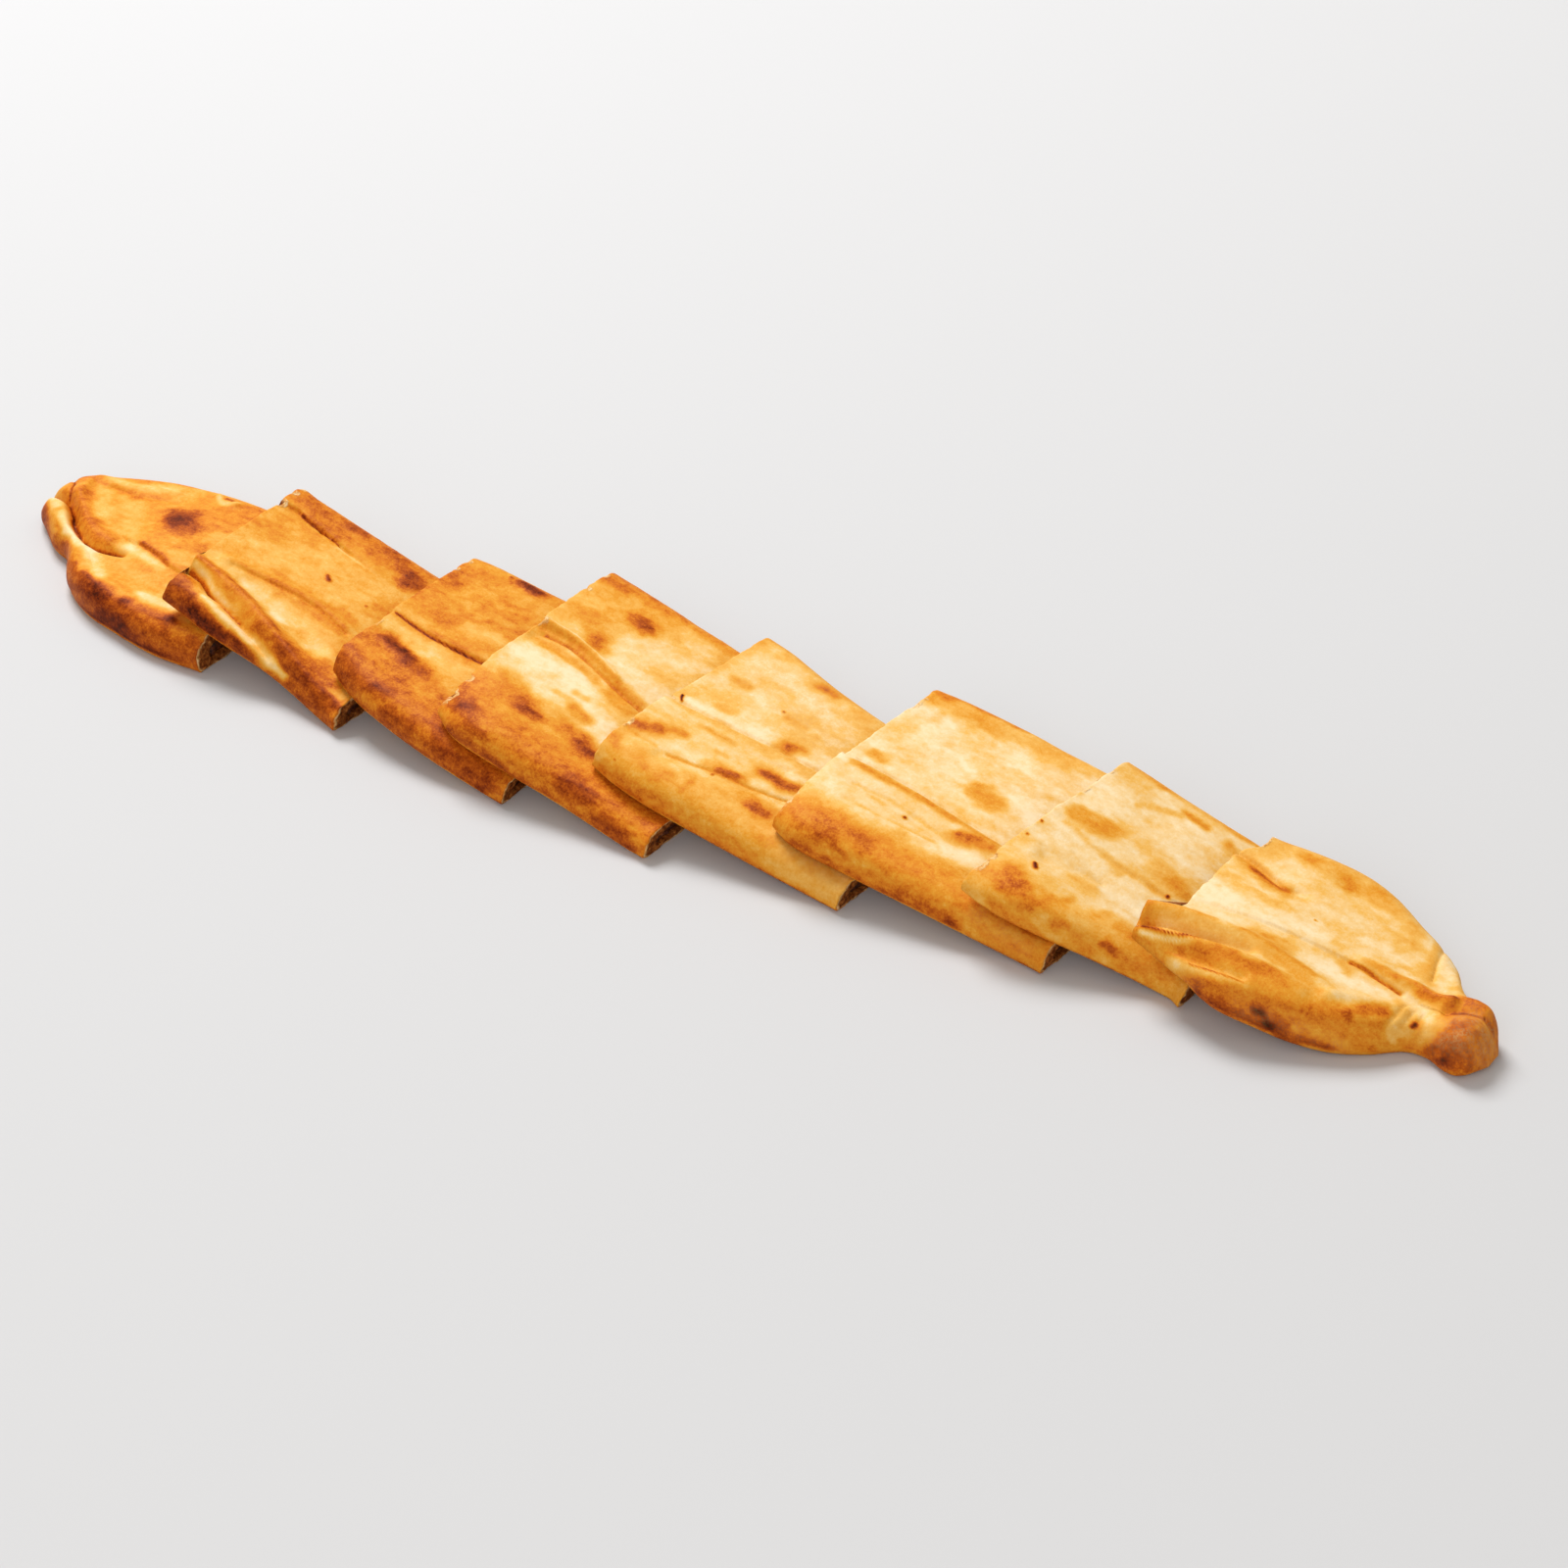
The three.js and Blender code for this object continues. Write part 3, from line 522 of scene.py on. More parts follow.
SLICE_5 = piece(
    "slice_5",
    skew=(14, 9),
    corner=0.95,
    stations=[
        (-21, -45.5, 52.5, 17.3, 12),
        (-10, -49, 51, 15.3, 12),
        (6, -51.5, 47, 12.4, 12),
        (43.5, -53.5, 38.5, 5.9, 11.5),
        (79, -55, 30.5, 0.1, 10.9),
        (86.5, -56.5, 28, 0, 10.6),
    ],
    folds=[
        ("near lap", 1.8, 1.3, 1.6,
         [(-19, -6.5), (-10, -7.5), (2, -7.5), (15, -7), (29, -6), (51, -7), (62, -8)]),
        ("crease", -0.8, -0.8, 0.6, [(-10, -5.5), (2, -5.5), (15, -5), (29, -4), (51, -5)]),
        ("ridge", -0.8, -0.8, 2.5, [(0, -36), (22, -34), (46, -31)]),
        ("crease", -0.5, -0.9, 0.6, [(2, -34), (12, -33), (22, -31), (34, -30.5), (48, -28)]),
        ("crease", -0.4, -0.2, 0.6, [(-17, -31.5), (-4, -33)]),
        ("crease", -0.3, -0.5, 0.6, [(6, -13), (20, -15), (40, -13.5)]),
    ],
    tones=SimpleNamespace(top=0.12, mottle=0.12, near=0.36, near_reach=16, far=0.34, far_reach=6),
    marks=[
        (0.36, 0.8, 3.5, [(-13, 20), (-9, 34), (-7, 46)]),
        (0.12, 0.7, 8, [(0, 32), (18, 30)]),
        (0.1, 0.6, 5, [(-6, 12), (10, 8)]),
        (0.34, 0.8, 2.0, [(-12, -8.5), (10, -9), (30, -8), (50, -8.5)]),
        (0.16, 0.6, 5, [(0, -18), (25, -18)]),
        (0.42, 0.7, 1.6, [(3, -14), (17, -14.5)]),
        (0.4, 0.6, 1.2, [(14, -22), (19, -22)]),
        (0.62, 0.85, 2.4, [(-3, -22), (1, -22)]),
        (0.5, 0.6, 5, [(-18, -30), (-6, -25)]),
        (0.68, 0.85, 3.4, [(-15, -28), (-8, -26)]),
        (0.58, 0.6, 3, [(16, -29.5), (30, -29)]),
        (0.7, 0.85, 2.2, [(20, -29.8), (27, -29.2)]),
        (0.6, 0.6, 4, [(32, -20), (48, -21)]),
        (0.68, 0.9, 3.2, [(35, -20.5), (46, -21)]),
        (0.76, 0.6, 1.6, [(38, -20.5), (45, -21)]),
        (0.56, 0.6, 5.5, [(38, -37), (46, -39)]),
        (0.72, 0.85, 3.2, [(40, -38), (45, -39.5)]),
        (0.5, 0.5, 3, [(34, -33), (38, -35)]),
        (0.66, 0.6, 6, [(-14, -57), (10, -59)]),
        (0.84, 0.85, 4, [(-5, -58), (1, -58.5)]),
        (0.52, 0.7, 1.6, [(17, -40), (16, -47)]),
        (0.52, 0.6, 3, [(-18, -37), (-16, -41)]),
        (0.48, 0.6, 4, [(-6, -40), (-3, -44)]),
        (0.48, 0.5, 3, [(26, -40), (31, -41)]),
        (0.48, 0.5, 4, [(0, -50), (8, -46)]),
        (0.46, 0.7, 3, [(2, 2), (6, 1)]),
        (0.3, 0.5, 6, [(-4, 9), (2, 10)]),
        (0.6, 0.85, 4.4, [(31, 0.5), (36, 0)]),
        (0.72, 0.7, 2.2, [(32, -0.5), (34, 0)]),
        (0.36, 0.5, 4, [(33, 7), (36, 8)]),
        (0.02, 0.85, 2.2, [(-9, -3), (10, -2.5), (24, -2.5)]),
        (0.04, 0.6, 2.0, [(38, -2.6), (50, -1.8)]),
        (0.48, 0.8, 2.6, [(-3, 19), (3, 18.5)]),
        (0.46, 0.7, 2.2, [(23, 13.5), (30, 12.5)]),
        (0.34, 0.6, 2.4, [(5, 26), (18, 26)]),
        (0.32, 0.5, 3, [(-3, 40), (4, 43)]),
        (0.4, 0.5, 5, [(20, 36), (30, 37)]),
        (0.62, 0.85, 2.8, [(23, 37.5), (28, 36.5)]),
        (0.42, 0.7, 6, [(42, 33), (50, 28)]),
        (0.42, 0.5, 4, [(50, 22), (52, 14)]),
        (0.4, 0.5, 4, [(5, 44), (30, 42)]),
        (0.85, 0.8, 0.8, [(20, 15.5)]),
        (0.9, 0.7, 0.6, [(-12, -49)]),
        (0.9, 0.7, 0.7, [(20, -33)]),
        (0.48, 0.7, 5, [(-10, -55), (30, -60), (50, -60)]),
        (0.38, 0.7, 7, [(60, -53), (82, -55)]),
        (0.66, 0.6, 3, [(10, -62), (80, -66)]),
        # Painted shade: darker lines in the two creases towards the near side.
        (0.58, 0.7, 0.7, [(2, -34), (12, -33), (22, -31), (34, -30.5), (48, -28)]),
        (0.46, 0.6, 0.7, [(-16, -32), (-4, -33)]),
        (1.0, 0.95, 0.6, [(-12, -2), (-11.4, -4.6)]),
    ],
    flour=[(0.35, 16.0, [(4, 26), (30, 22)]), (0.5, 8.0, [(24, 18), (40, 12)]),
           (0.3, 4.0, [(46, 9), (52, 7)]),
           (0.3, 7.0, [(60, -49), (82, -52)])],
    nicks=[(-29, 3.0, 0.9), (-5, 1.0, 0.8)],
)

SLICE_6 = piece(
    "slice_6",
    skew=(10, 11),
    corner=0.65,
    stations=[
        (54.5, -45.5, 54.5, 17.3, 12),
        (65.5, -50, 55.5, 15.3, 12),
        (82, -50.5, 56, 12.4, 11.8),
        (121, -50.5, 55, 5.8, 11.4),
        (157.5, -51, 51.5, 0.1, 10.9),
        (165, -52.5, 50, 0, 10.6),
    ],
    folds=[
        ("near lap", 1.9, 1.3, 1.6,
         [(60, -7.5), (70, -6.8), (84, -7.2), (100, -8.8), (115, -11), (127, -12.5), (140, -14)]),
        ("crease", -0.8, -0.6, 0.6, [(64, -5.5), (84, -5.8), (100, -7.3), (115, -9.5), (127, -11)]),
        ("ridge", -0.8, -0.6, 3.5, [(96, -22), (134, -26)]),
        ("crease", -0.3, -0.4, 0.6, [(70, -19.5), (85, -18.8), (98, -20), (107, -22), (118, -24)]),
        ("crease", -0.4, -0.3, 0.6, [(72, -28.2), (90, -28), (108, -27)]),
    ],
    tones=SimpleNamespace(top=0.06, mottle=0.12, near=0.48, near_reach=19, far=0.36, far_reach=9),
    marks=[
        (0.26, 0.6, 2.6, [(67, 23), (70, 24)]),
        (0.3, 0.6, 2, [(73, 33), (73, 38)]),
        (0.2, 0.5, 4, [(76, 12), (82, 6)]),
        (0.3, 0.6, 2.4, [(114, -3), (118, -5)]),
        (0.2, 0.5, 3, [(86, 25), (90, 28)]),
        (0.24, 0.6, 4, [(66, 12), (68, 30)]),
        (0.44, 0.95, 5.4, [(106, 7.5), (112, 6.5)], 5),
        (0.44, 0.9, 3.2, [(104.5, 10.5), (106, 12)], 4),
        (0.46, 0.85, 2.8, [(66, 1.5), (70, 0.5)]),
        (0.46, 0.75, 5, [(66, 44), (80, 44), (92, 45)]),
        (0.36, 0.6, 4, [(100, 46), (128, 47)]),
        (0.64, 0.8, 3.5, [(66, 49), (70, 49)]),
        (0.62, 0.6, 2.5, [(72, 51), (100, 52)]),
        (0.38, 0.6, 3, [(110, 43.5), (113, 42)]),
        (0.36, 0.6, 2.4, [(121, 42)]),
        (0.5, 0.85, 2.0, [(64, -9.5), (80, -10), (95, -10.3), (106, -12)]),
        (0.5, 0.7, 1.6, [(106, -11), (126, -13)]),
        (0.54, 0.95, 3.8, [(114, -17.5), (124, -16.5)], 4),
        (0.64, 0.7, 2, [(112, -18), (118, -16)]),
        (0.5, 0.7, 2.6, [(109, -21), (116, -21)]),
        (0.14, 0.75, 3.4, [(73, -16), (88, -16.5), (104, -17)]),
        # Painted shade in the crease.
        (0.36, 0.5, 0.9, [(70, -19.5), (85, -18.8), (98, -20), (107, -22)]),
        (0.42, 0.7, 1.4, [(79, -22), (84, -22)]),
        (0.2, 0.6, 4, [(70, -25), (104, -25)]),
        # Painted shade in the crease.
        (0.4, 0.6, 0.8, [(72, -28.2), (90, -28), (108, -27)]),
        (0.03, 0.9, 3.6, [(110, -29), (126, -26)], 4),
        (0.16, 0.6, 4, [(68, -31), (90, -31)]),
        (0.5, 0.7, 6, [(62, -39), (95, -39)]),
        (0.42, 0.6, 6, [(104, -38), (124, -37)]),
        (0.62, 0.8, 4, [(87, -42.5), (89, -43.5)]),
        (0.57, 0.75, 8, [(73, -42), (68, -52)]),
        (0.72, 0.6, 3, [(74, -50), (84, -53)]),
        (0.48, 0.6, 7, [(100, -47), (122, -46)]),
        (0.36, 0.6, 4, [(124, -42), (128, -48)]),
        (0.7, 0.6, 4, [(110, -56), (126, -57)]),
        (0.88, 0.8, 3.2, [(129, -58)]),
        (0.5, 0.6, 6, [(138, -52), (160, -54)]),
        (0.78, 0.6, 2.6, [(66, -59), (100, -61), (160, -62)]),
        (0.97, 0.9, 0.9, [(93, -23)]),
    ],
    flour=[(0.14, 5.0, [(138, -50), (156, -53)])],
    nicks=[(38, 6.0, 0.6), (-38, 7.0, 0.5)],
)

SLICE_7 = piece(
    "slice_7",
    skew=(15, 9),
    corner=0.6,
    stations=[
        (133, -48, 44, 20, 12),
        (141.5, -50, 44, 17.7, 12),
        (153.5, -50, 43.5, 14.4, 11.8),
        (182, -45, 42.3, 6.7, 11.3),
        (209.5, -42.5, 41, 0.1, 10.8),
        (215, -45.5, 40, 0, 10.4),
    ],
    folds=[
        ("far lap", 0.5, 0.5, 1.6, [(140, -2.5), (147, -4.5), (158, -8), (168, -9), (190, -9.7)]),
        ("crease", -0.3, -0.3, 0.6, [(144, -3.7), (158, -8.3), (168, -9.3), (190, -10)]),
        ("ridge", -1.0, -0.8, 3.5, [(150, -24), (169, -20), (190, -24)]),
        ("crease", -0.3, -0.3, 0.6, [(156, -15), (164, -17), (171, -20.5), (184, -22)]),
        ("crease", -0.4, -0.4, 0.6, [(146, -20), (160, -21), (170, -20)]),
    ],
    tones=SimpleNamespace(top=0.07, mottle=0.13, near=0.38, near_reach=17, far=0.4, far_reach=6),
    marks=[
        (0.05, 0.7, 4, [(150, 15), (180, 14)]),
        (0.26, 0.5, 3, [(172, 6), (178, 5)]),
        (0.43, 0.95, 5.2, [(149, 2), (160, 3)], 5),
        (0.5, 0.6, 3, [(158, 2), (160, 5)]),
        (0.48, 0.5, 2, [(155, -2)]),
        # Painted shade along the far lap's crease.
        (0.44, 0.85, 1.6, [(147, -4.5), (158, -8), (166, -8.7)]),
        (0.38, 0.7, 1.6, [(166, -9), (190, -9.5)]),
        (0.4, 0.6, 2, [(168, -11.5), (172, -12)]),
        (0.34, 0.6, 5, [(186, 0), (192, -4)]),
        (0.5, 0.85, 3.4, [(189, -2), (193, -4)]),
        (0.1, 0.8, 5, [(148, -15), (166, -17)]),
        (0.03, 0.7, 5, [(148, -8), (164, -12)]),
        (0.02, 0.9, 3.2, [(173, -21.5), (186, -23)], 4),
        (0.05, 0.6, 4, [(146, -24), (158, -25)]),
        (0.38, 0.8, 3.4, [(163, -26.5), (168, -26)]),
        (0.3, 0.5, 3, [(148, -25)]),
        (0.5, 0.6, 8, [(143, -42), (152, -46)]),
        (0.61, 0.85, 5.5, [(146, -41), (148, -47)]),
        (0.54, 0.7, 2, [(161, -40), (160, -45)]),
        (0.52, 0.7, 2, [(166, -35), (165, -40)]),
        (0.56, 0.75, 3.6, [(185, -34), (189, -35)]),
        (0.52, 0.6, 2.4, [(178, -33), (176, -37)]),
        (0.62, 0.7, 3, [(155, -51), (158, -49)]),
        (0.62, 0.7, 2.6, [(167, -50), (170, -49)]),
        (0.7, 0.8, 2.8, [(184, -46), (187, -47)]),
        (0.58, 0.7, 3.0, [(176, -52), (180, -51)]),
        (0.6, 0.7, 3, [(146, -58), (160, -59), (176, -58)]),
        (0.56, 0.7, 4, [(192, -48), (204, -50)]),
        (0.5, 0.6, 5, [(196, -40), (206, -42)]),
        (0.24, 0.5, 4, [(170, -41), (180, -42)]),
        (0.54, 0.75, 2.6, [(150, 38), (162, 38)]),
        (0.56, 0.6, 2, [(164, 38), (196, 38)]),
        (0.62, 0.8, 2, [(175, 32), (183, 31.5)]),
        (0.54, 0.7, 3, [(193, 29), (196, 27)]),
        (0.4, 0.7, 1.8, [(161, 22), (165, 26.5), (174, 28.5)]),
        (0.34, 0.6, 5, [(150, 34), (160, 30)]),
        (0.3, 0.5, 4, [(170, 36), (186, 36)]),
        (0.24, 0.6, 4, [(196, 14), (194, 22)]),
        (0.98, 0.9, 0.8, [(189.5, -9.5)]),
        (1.0, 0.95, 1.0, [(148.5, -29.8), (149.7, -31.5)]),
        (0.9, 0.8, 0.7, [(140, -10)]),
        (0.9, 0.7, 0.7, [(139.5, -19)]),
    ],
    flour=[(0.12, 6.0, [(149, -14), (168, -20)])],
    nicks=[(-38, 5.0, 1.0), (15, 2.0, 0.6), (30, 2.0, 0.6)],
)

END_RIGHT = piece(
    "end_right",
    tip="right",
    skew=(0, 0),
    tongue=11.0,
    undercut=17.0,
    near_wall=18.0,
    hollow=(0.0, 0.42),
    stations=[
        (204, -41, 33.5, 15.3, 13),
        (212, -46, 34, 13.8, 13.5),
        (221, -50, 35, 12.1, 14),
        (232, -52.5, 36, 9.4, 15),
        (245, -50.5, 36.5, 6, 15.5),
        (257, -48, 33.5, 3, 16),
        (270, -43.5, 26, 0.8, 15.5),
        (281, -36.5, 20, 0, 14),
        (290, -29, 12.5, 0, 12.5),
        (298, -28.5, 0, 0, 14),
        (306, -32, -3.5, 0, 16),
        (313, -32, -7, 0, 14.5),
        (316.5, -26, -13, 0, 9),
    ],
    folds=[
        ("ridge", 3, 1.0, 3.4,
         [(193, -33), (204, -31), (216, -29), (228, -27), (240, -27.5), (252, -29.5),
          (262, -31.5)]),
        ("ridge", -3.4, -1.6, 2.0,
         [(193, -38.5), (205, -37.5), (214, -37), (222, -35), (232, -33)]),
        ("crease", -1.2, -0.7, 1.1, [(193, -38.5), (205, -37.5), (214, -37), (222, -35)]),
        ("ridge", 2.4, 1, 3.0,
         [(194, -42), (206, -42), (214, -41.5), (225, -39), (240, -37.5), (254, -39)]),
        ("ridge", -1.8, -1, 2.2, [(208, -44.5), (216, -45.5), (226, -46.5), (236, -46)]),
        ("crease", -1.6, -0.8, 0.7, [(210, -45), (218, -46), (227, -46.8), (236, -46)]),
        ("far lap", 0.2, 0.9, 0.8,
         [(204, -20.5), (216, -18.5), (232, -15.5), (248, -13.7), (262, -13.2), (272, -14),
          (280, -15.3), (288, -16.5)]),
        ("crease", -0.2, -1.1, 0.5,
         [(206, -20.5), (232, -15.8), (248, -14), (262, -13.5), (272, -14.3), (281, -15.8)]),
        ("ridge", 0.9, 3.4, 2.8,
         [(264, -11), (270, -10.2), (276, -11.4), (283, -10.8), (290, -12.4), (297, -13)]),
        ("ridge", -1.2, -0.8, 2.4, [(200, 15), (212, 11), (219, 8), (226, 5.5), (233, 6)]),
        ("crease", -1.4, -1.2, 0.7, [(203, 14.5), (212, 12), (219, 9), (226, 6), (231, 6.5)]),
        ("ridge", 0.9, 1.2, 2.6, [(262, -35), (268, -29.5), (274, -26), (284, -22.5)]),
        ("crease", -0.9, -0.7, 0.8, [(284.5, -20), (283.5, -30), (281, -42)]),
        ("crease", -0.8, -0.6, 0.7, [(288, -21), (287, -30), (285.5, -40)]),
        ("crease", -0.8, -0.6, 0.7, [(291.5, -20), (290.5, -30), (290, -38)]),
        ("crease", -1.2, -1.0, 0.9, [(281, 19), (283, 8), (286, -3)]),
        ("ridge", -1.6, -1.2, 2.0, [(298, -17), (306, -16), (314, -16)]),
        ("ridge", 1.2, 1.0, 3.0, [(300, -9), (310, -11)]),
    ],
    tones=SimpleNamespace(top=0.13, mottle=0.16, near=0.52, near_reach=6, far=0.34, far_reach=7),
    marks=[
        (0.03, 0.85, 5, [(206, -15), (228, -11), (246, -9)], 3),
        (0.08, 0.7, 8, [(240, 6), (262, 2)]),
        (0.14, 0.5, 5, [(218, 14), (236, 14)]),
        (0.36, 0.6, 5, [(212, 24), (236, 26), (256, 22)]),
        (0.52, 0.7, 2.4, [(225, 26), (228, 25)]),
        (0.52, 0.75, 3.4, [(240, 24), (243, 22)]),
        (0.44, 0.6, 4, [(250, 27), (262, 22), (272, 14)]),
        (0.36, 0.6, 5, [(212, 20), (214, 28)]),
        (0.48, 0.8, 3, [(206, 12), (216, 8)]),
        (0.66, 0.95, 2.6, [(213, 8.5), (220, 6), (227, 4)]),
        (0.44, 0.6, 3, [(220, 3), (229, 2)]),
        (0.36, 0.6, 3, [(207, -3), (213, -5)]),
        (0.3, 0.5, 3, [(248, -2), (256, 0)]),
        (0.3, 0.5, 3, [(226, -6)]),
        (0.4, 0.6, 2, [(271, 5), (270, 2)]),
        (0.3, 0.6, 3.4, [(262, 5), (268, 7)]),
        (0.9, 0.7, 0.6, [(242, -3)]),
        (0.12, 0.85, 4, [(224, -21), (206, -24)]),
        (0.24, 0.6, 4, [(240, -17), (256, -17)]),
        (0.42, 0.75, 2.4, [(233, -22), (243, -21)]),
        (0.03, 0.9, 4.5, [(248, -22), (262, -21), (276, -20)], 3),
        (0.38, 0.75, 2.6, [(259, -16), (262, -18)]),
        (0.52, 0.8, 2.0, [(194, -32), (206, -29.5), (216, -28)]),
        (0.38, 0.75, 3.4, [(198, -33), (222, -31)]),
        (0.52, 0.85, 1.6, [(226, -27), (240, -27), (252, -28.8), (262, -31)]),
        (0.38, 0.7, 3.4, [(228, -30), (246, -31), (258, -34)]),
        (0.56, 0.75, 4, [(191, -33), (195, -37)]),
        # Painted shade: a dark line in the slit between the pleats.
        (0.88, 0.8, 0.55, [(196, -43.2), (203, -42), (213, -40.6), (217, -39.6)]),
        (0.04, 0.9, 1.7, [(197, -46.5), (206, -44.8), (214, -43.4)]),
        (0.16, 0.6, 1.6, [(222, -37), (233, -34.7), (245, -34.7)]),
        (0.44, 0.6, 5, [(206, -50), (226, -46), (250, -42)]),
        (0.6, 0.85, 3.4, [(214, -46), (222, -43), (232, -40.5), (246, -39)]),
        (0.54, 0.7, 5, [(232, -54), (250, -50), (262, -44)]),
        (0.16, 0.85, 2.6, [(213, -54), (220, -53.5), (231, -50.5), (238, -48.5)]),
        (0.2, 0.7, 3, [(213, -55), (219, -57)]),
        # Painted shade in the lower slit.
        (0.8, 0.75, 0.55, [(218, -52), (228, -50.6), (237, -49)]),
        (0.64, 0.7, 5, [(220, -59), (232, -60)]),
        (0.52, 0.6, 5, [(236, -54), (246, -50)]),
        (0.52, 0.6, 5, [(250, -47), (258, -45)]),
        (0.46, 0.6, 4, [(238, -46), (250, -44)]),
        (0.8, 0.6, 4.5, [(246, -59), (252, -59)]),
        (0.93, 0.9, 1.5, [(244.5, -57.5), (247, -57)]),
        (0.96, 0.9, 1.8, [(249, -59.5), (251, -60)]),
        (0.8, 0.7, 1.3, [(255.5, -56)]),
        (0.54, 0.7, 4, [(268, -38), (262, -42)]),
        (0.68, 0.85, 4, [(279, -28), (274, -33)]),
        (0.72, 0.7, 2, [(271, -37), (272, -40)]),
        (0.14, 0.85, 2.4, [(258, -31), (264, -32), (269, -28.5), (276, -24.5)]),
        (0.26, 0.85, 5, [(286, -24), (288, -32)]),
        (0.14, 0.7, 2, [(284, -30), (286, -38)]),
        (0.94, 0.9, 1.2, [(290.5, -26.5), (290, -28)]),
        (0.5, 0.5, 2, [(283, -38), (280, -44)]),
        (0.06, 0.85, 2.5, [(283, -17), (290, -19)]),
        (0.5, 0.9, 2.6, [(266, -11), (276, -11), (286, -11.5)]),
        (0.6, 0.9, 3, [(286, -12), (296, -13)]),
        (0.68, 0.7, 2, [(296, -12), (298, -14)]),
        (0.1, 0.85, 3.4, [(284, 14), (288, 4), (290, -3)], 3),
        (0.36, 0.8, 2, [(279, 17), (282, 6), (285, -4)]),
        (0.74, 0.92, 9, [(306, -24), (304, -36)], 4),
        # Painted shade in the far lap's crease.
        (0.8, 0.75, 0.4, [(260, -13.4), (266, -13.6), (272, -14.4), (280, -15.7)]),
        (0.08, 0.8, 2, [(294, -22), (296, -30)]),
        (0.28, 0.7, 3, [(296, -34), (299, -24)]),
        # The knob's lower near side is darker: painted shade over its brown crust.
        (0.86, 0.7, 6, [(306, -42), (312, -38)]),
        (0.66, 0.9, 6, [(303, -11), (313, -12)]),
        (0.6, 0.85, 7, [(315, -24), (314, -8)]),
        (0.68, 0.8, 8, [(318, -38), (320, -28)]),
        (0.6, 0.7, 3, [(298, -17), (304, -19)]),
        # Painted shade in the crease that parts the knob's two lobes.
        (0.92, 0.6, 0.8, [(300, -16.5), (306, -16), (314, -15.5)]),
        (0.84, 0.6, 3, [(225, -64), (250, -63), (280, -54)]),
    ],
    flour=[(0.14, 4.0, [(240, -60), (272, -52)]), (0.5, 10.0, [(303, -28), (311, -22)]),
           (0.12, 4.0, [(214, -55), (222, -58)])],
    notch=(26.0, 9.5, 6.0),
    nicks=[(26, 7.0, 0.8)],
)

PIECES = (END_LEFT, SLICE_2, SLICE_3, SLICE_4, SLICE_5, SLICE_6, SLICE_7, END_RIGHT)


# ------------------------------------------------------------------ shape of a piece


def fold_height(folds, x, y):
    """Height the folds add at [x, y]. With d the distance from the line, h the height there
    and w the half width, a ridge adds h exp(-(d/w)^2) and a crease h exp(-d/w), fading past
    its ends. A lap adds h on its raised side, easing in over 2 w, and fades both past its
    ends and with the distance behind its edge."""
    total = np.zeros_like(x)
    for kind, first, last, width, line in folds:
        gap, side, share, past = nearest_on_line(line, x, y)
        height = mix(first, last, share)
        if kind == "ridge":
            total += height * np.exp(-((gap / width) ** 2))
        elif kind == "crease":
            total += height * np.exp(-gap / width) * np.exp(-((past / CREASE_RUNOUT) ** 2))
        else:
            signed = gap * side * (1 if kind == "far lap" else -1)
            behind = np.exp(-((np.maximum(signed, 0) / LAP_REACH) ** 2))
            fade = np.exp(-((past / LAP_RUNOUT) ** 2))
            total += height * ease(0.5 + signed / (2 * width)) * behind * fade
    return total


def section_loop(under_steps, side_steps, top_steps):
    """The section as a closed loop. Each point's y is the sum of the near edge, the far
    edge, the reach in under and the reach over the top, times its four numbers; its rise
    goes from -1 at the underside to 1 at the top. The sides are superellipses."""
    strip = np.arange(under_steps) / under_steps
    under = np.stack([1 - strip, strip, 1 - 2 * strip, 0 * strip, -1 + 0 * strip])
    strip = np.arange(top_steps) / top_steps
    top = np.stack([strip, 1 - strip, 0 * strip, 2 * strip - 1, 1 + 0 * strip])
    angle = np.linspace(-np.pi / 2, np.pi / 2, side_steps, endpoint=False)

    def side(angle, near, far, inward):
        """One side of the section, drawn in from the near or the far edge."""
        inset = inward * (1 - np.abs(np.cos(angle)) ** (2 / SIDE_POWER))
        rise = np.sign(angle) * np.abs(np.sin(angle)) ** (2 / SIDE_POWER)
        below = angle < 0
        edge = 0 * angle
        return np.stack([near + edge, far + edge, inset * below, inset * ~below, rise])

    far_side = side(angle, 0, 1, -1)
    near_side = side(-angle, 1, 0, 1)
    return np.concatenate([under, far_side, top, near_side], axis=1)


def sizes_at(piece, share):
    """The piece's outline and heights at shares of its length, as columns. Towards a closed
    tip the thickness follows a quarter circle and the width narrows with it. The slope that
    the piece lies at is that from the first underside to the last but one."""
    first, last = piece.stations[0][0], piece.stations[-1][0]
    x = mix(first, last, share)
    columns = curve_through(piece.stations, x)
    near, far, under, thick = (columns[:, i][:, None] for i in range(1, 5))
    under = np.maximum(under, 0)
    if piece.tip:
        from_tip = (x - first if piece.tip == "left" else last - x)[:, None]
        full = np.sqrt(1 - (1 - np.clip(from_tip / TIP_ROUNDING, 0.004, 1)) ** 2)
        middle, half = (near + far) / 2, (far - near) / 2 * mix(0.5, 1, full)
        under = under + thick * SIDE_WIDEST * (1 - full)
        near, far, thick = middle - half, middle + half, thick * full
    here = SimpleNamespace(share=share[:, None], x=x[:, None], near=near, far=far)
    here.under, here.thick = under, thick
    here.lean = mix(*piece.skew, here.share)
    here.slope = (piece.stations[0][3] - piece.stations[-2][3]) / (
        piece.stations[-2][0] - piece.stations[0][0]
    )
    return here


def thickness_left(piece, here, y):
    """Share of the thickness left where the near left corner is pressed thin."""
    pressed = np.maximum(1 - here.share / CORNER_LENGTH, 0) ** 1.5
    return 1 - (1 - piece.corner) * pressed * np.clip(1 - (y - here.near) / CORNER_WIDTH, 0, 1)


def near_left_end(here):
    """1 at the left end, falling to 0 where the tongue ends."""
    return np.maximum(1 - here.share / TONGUE_LENGTH, 0) ** 1.5


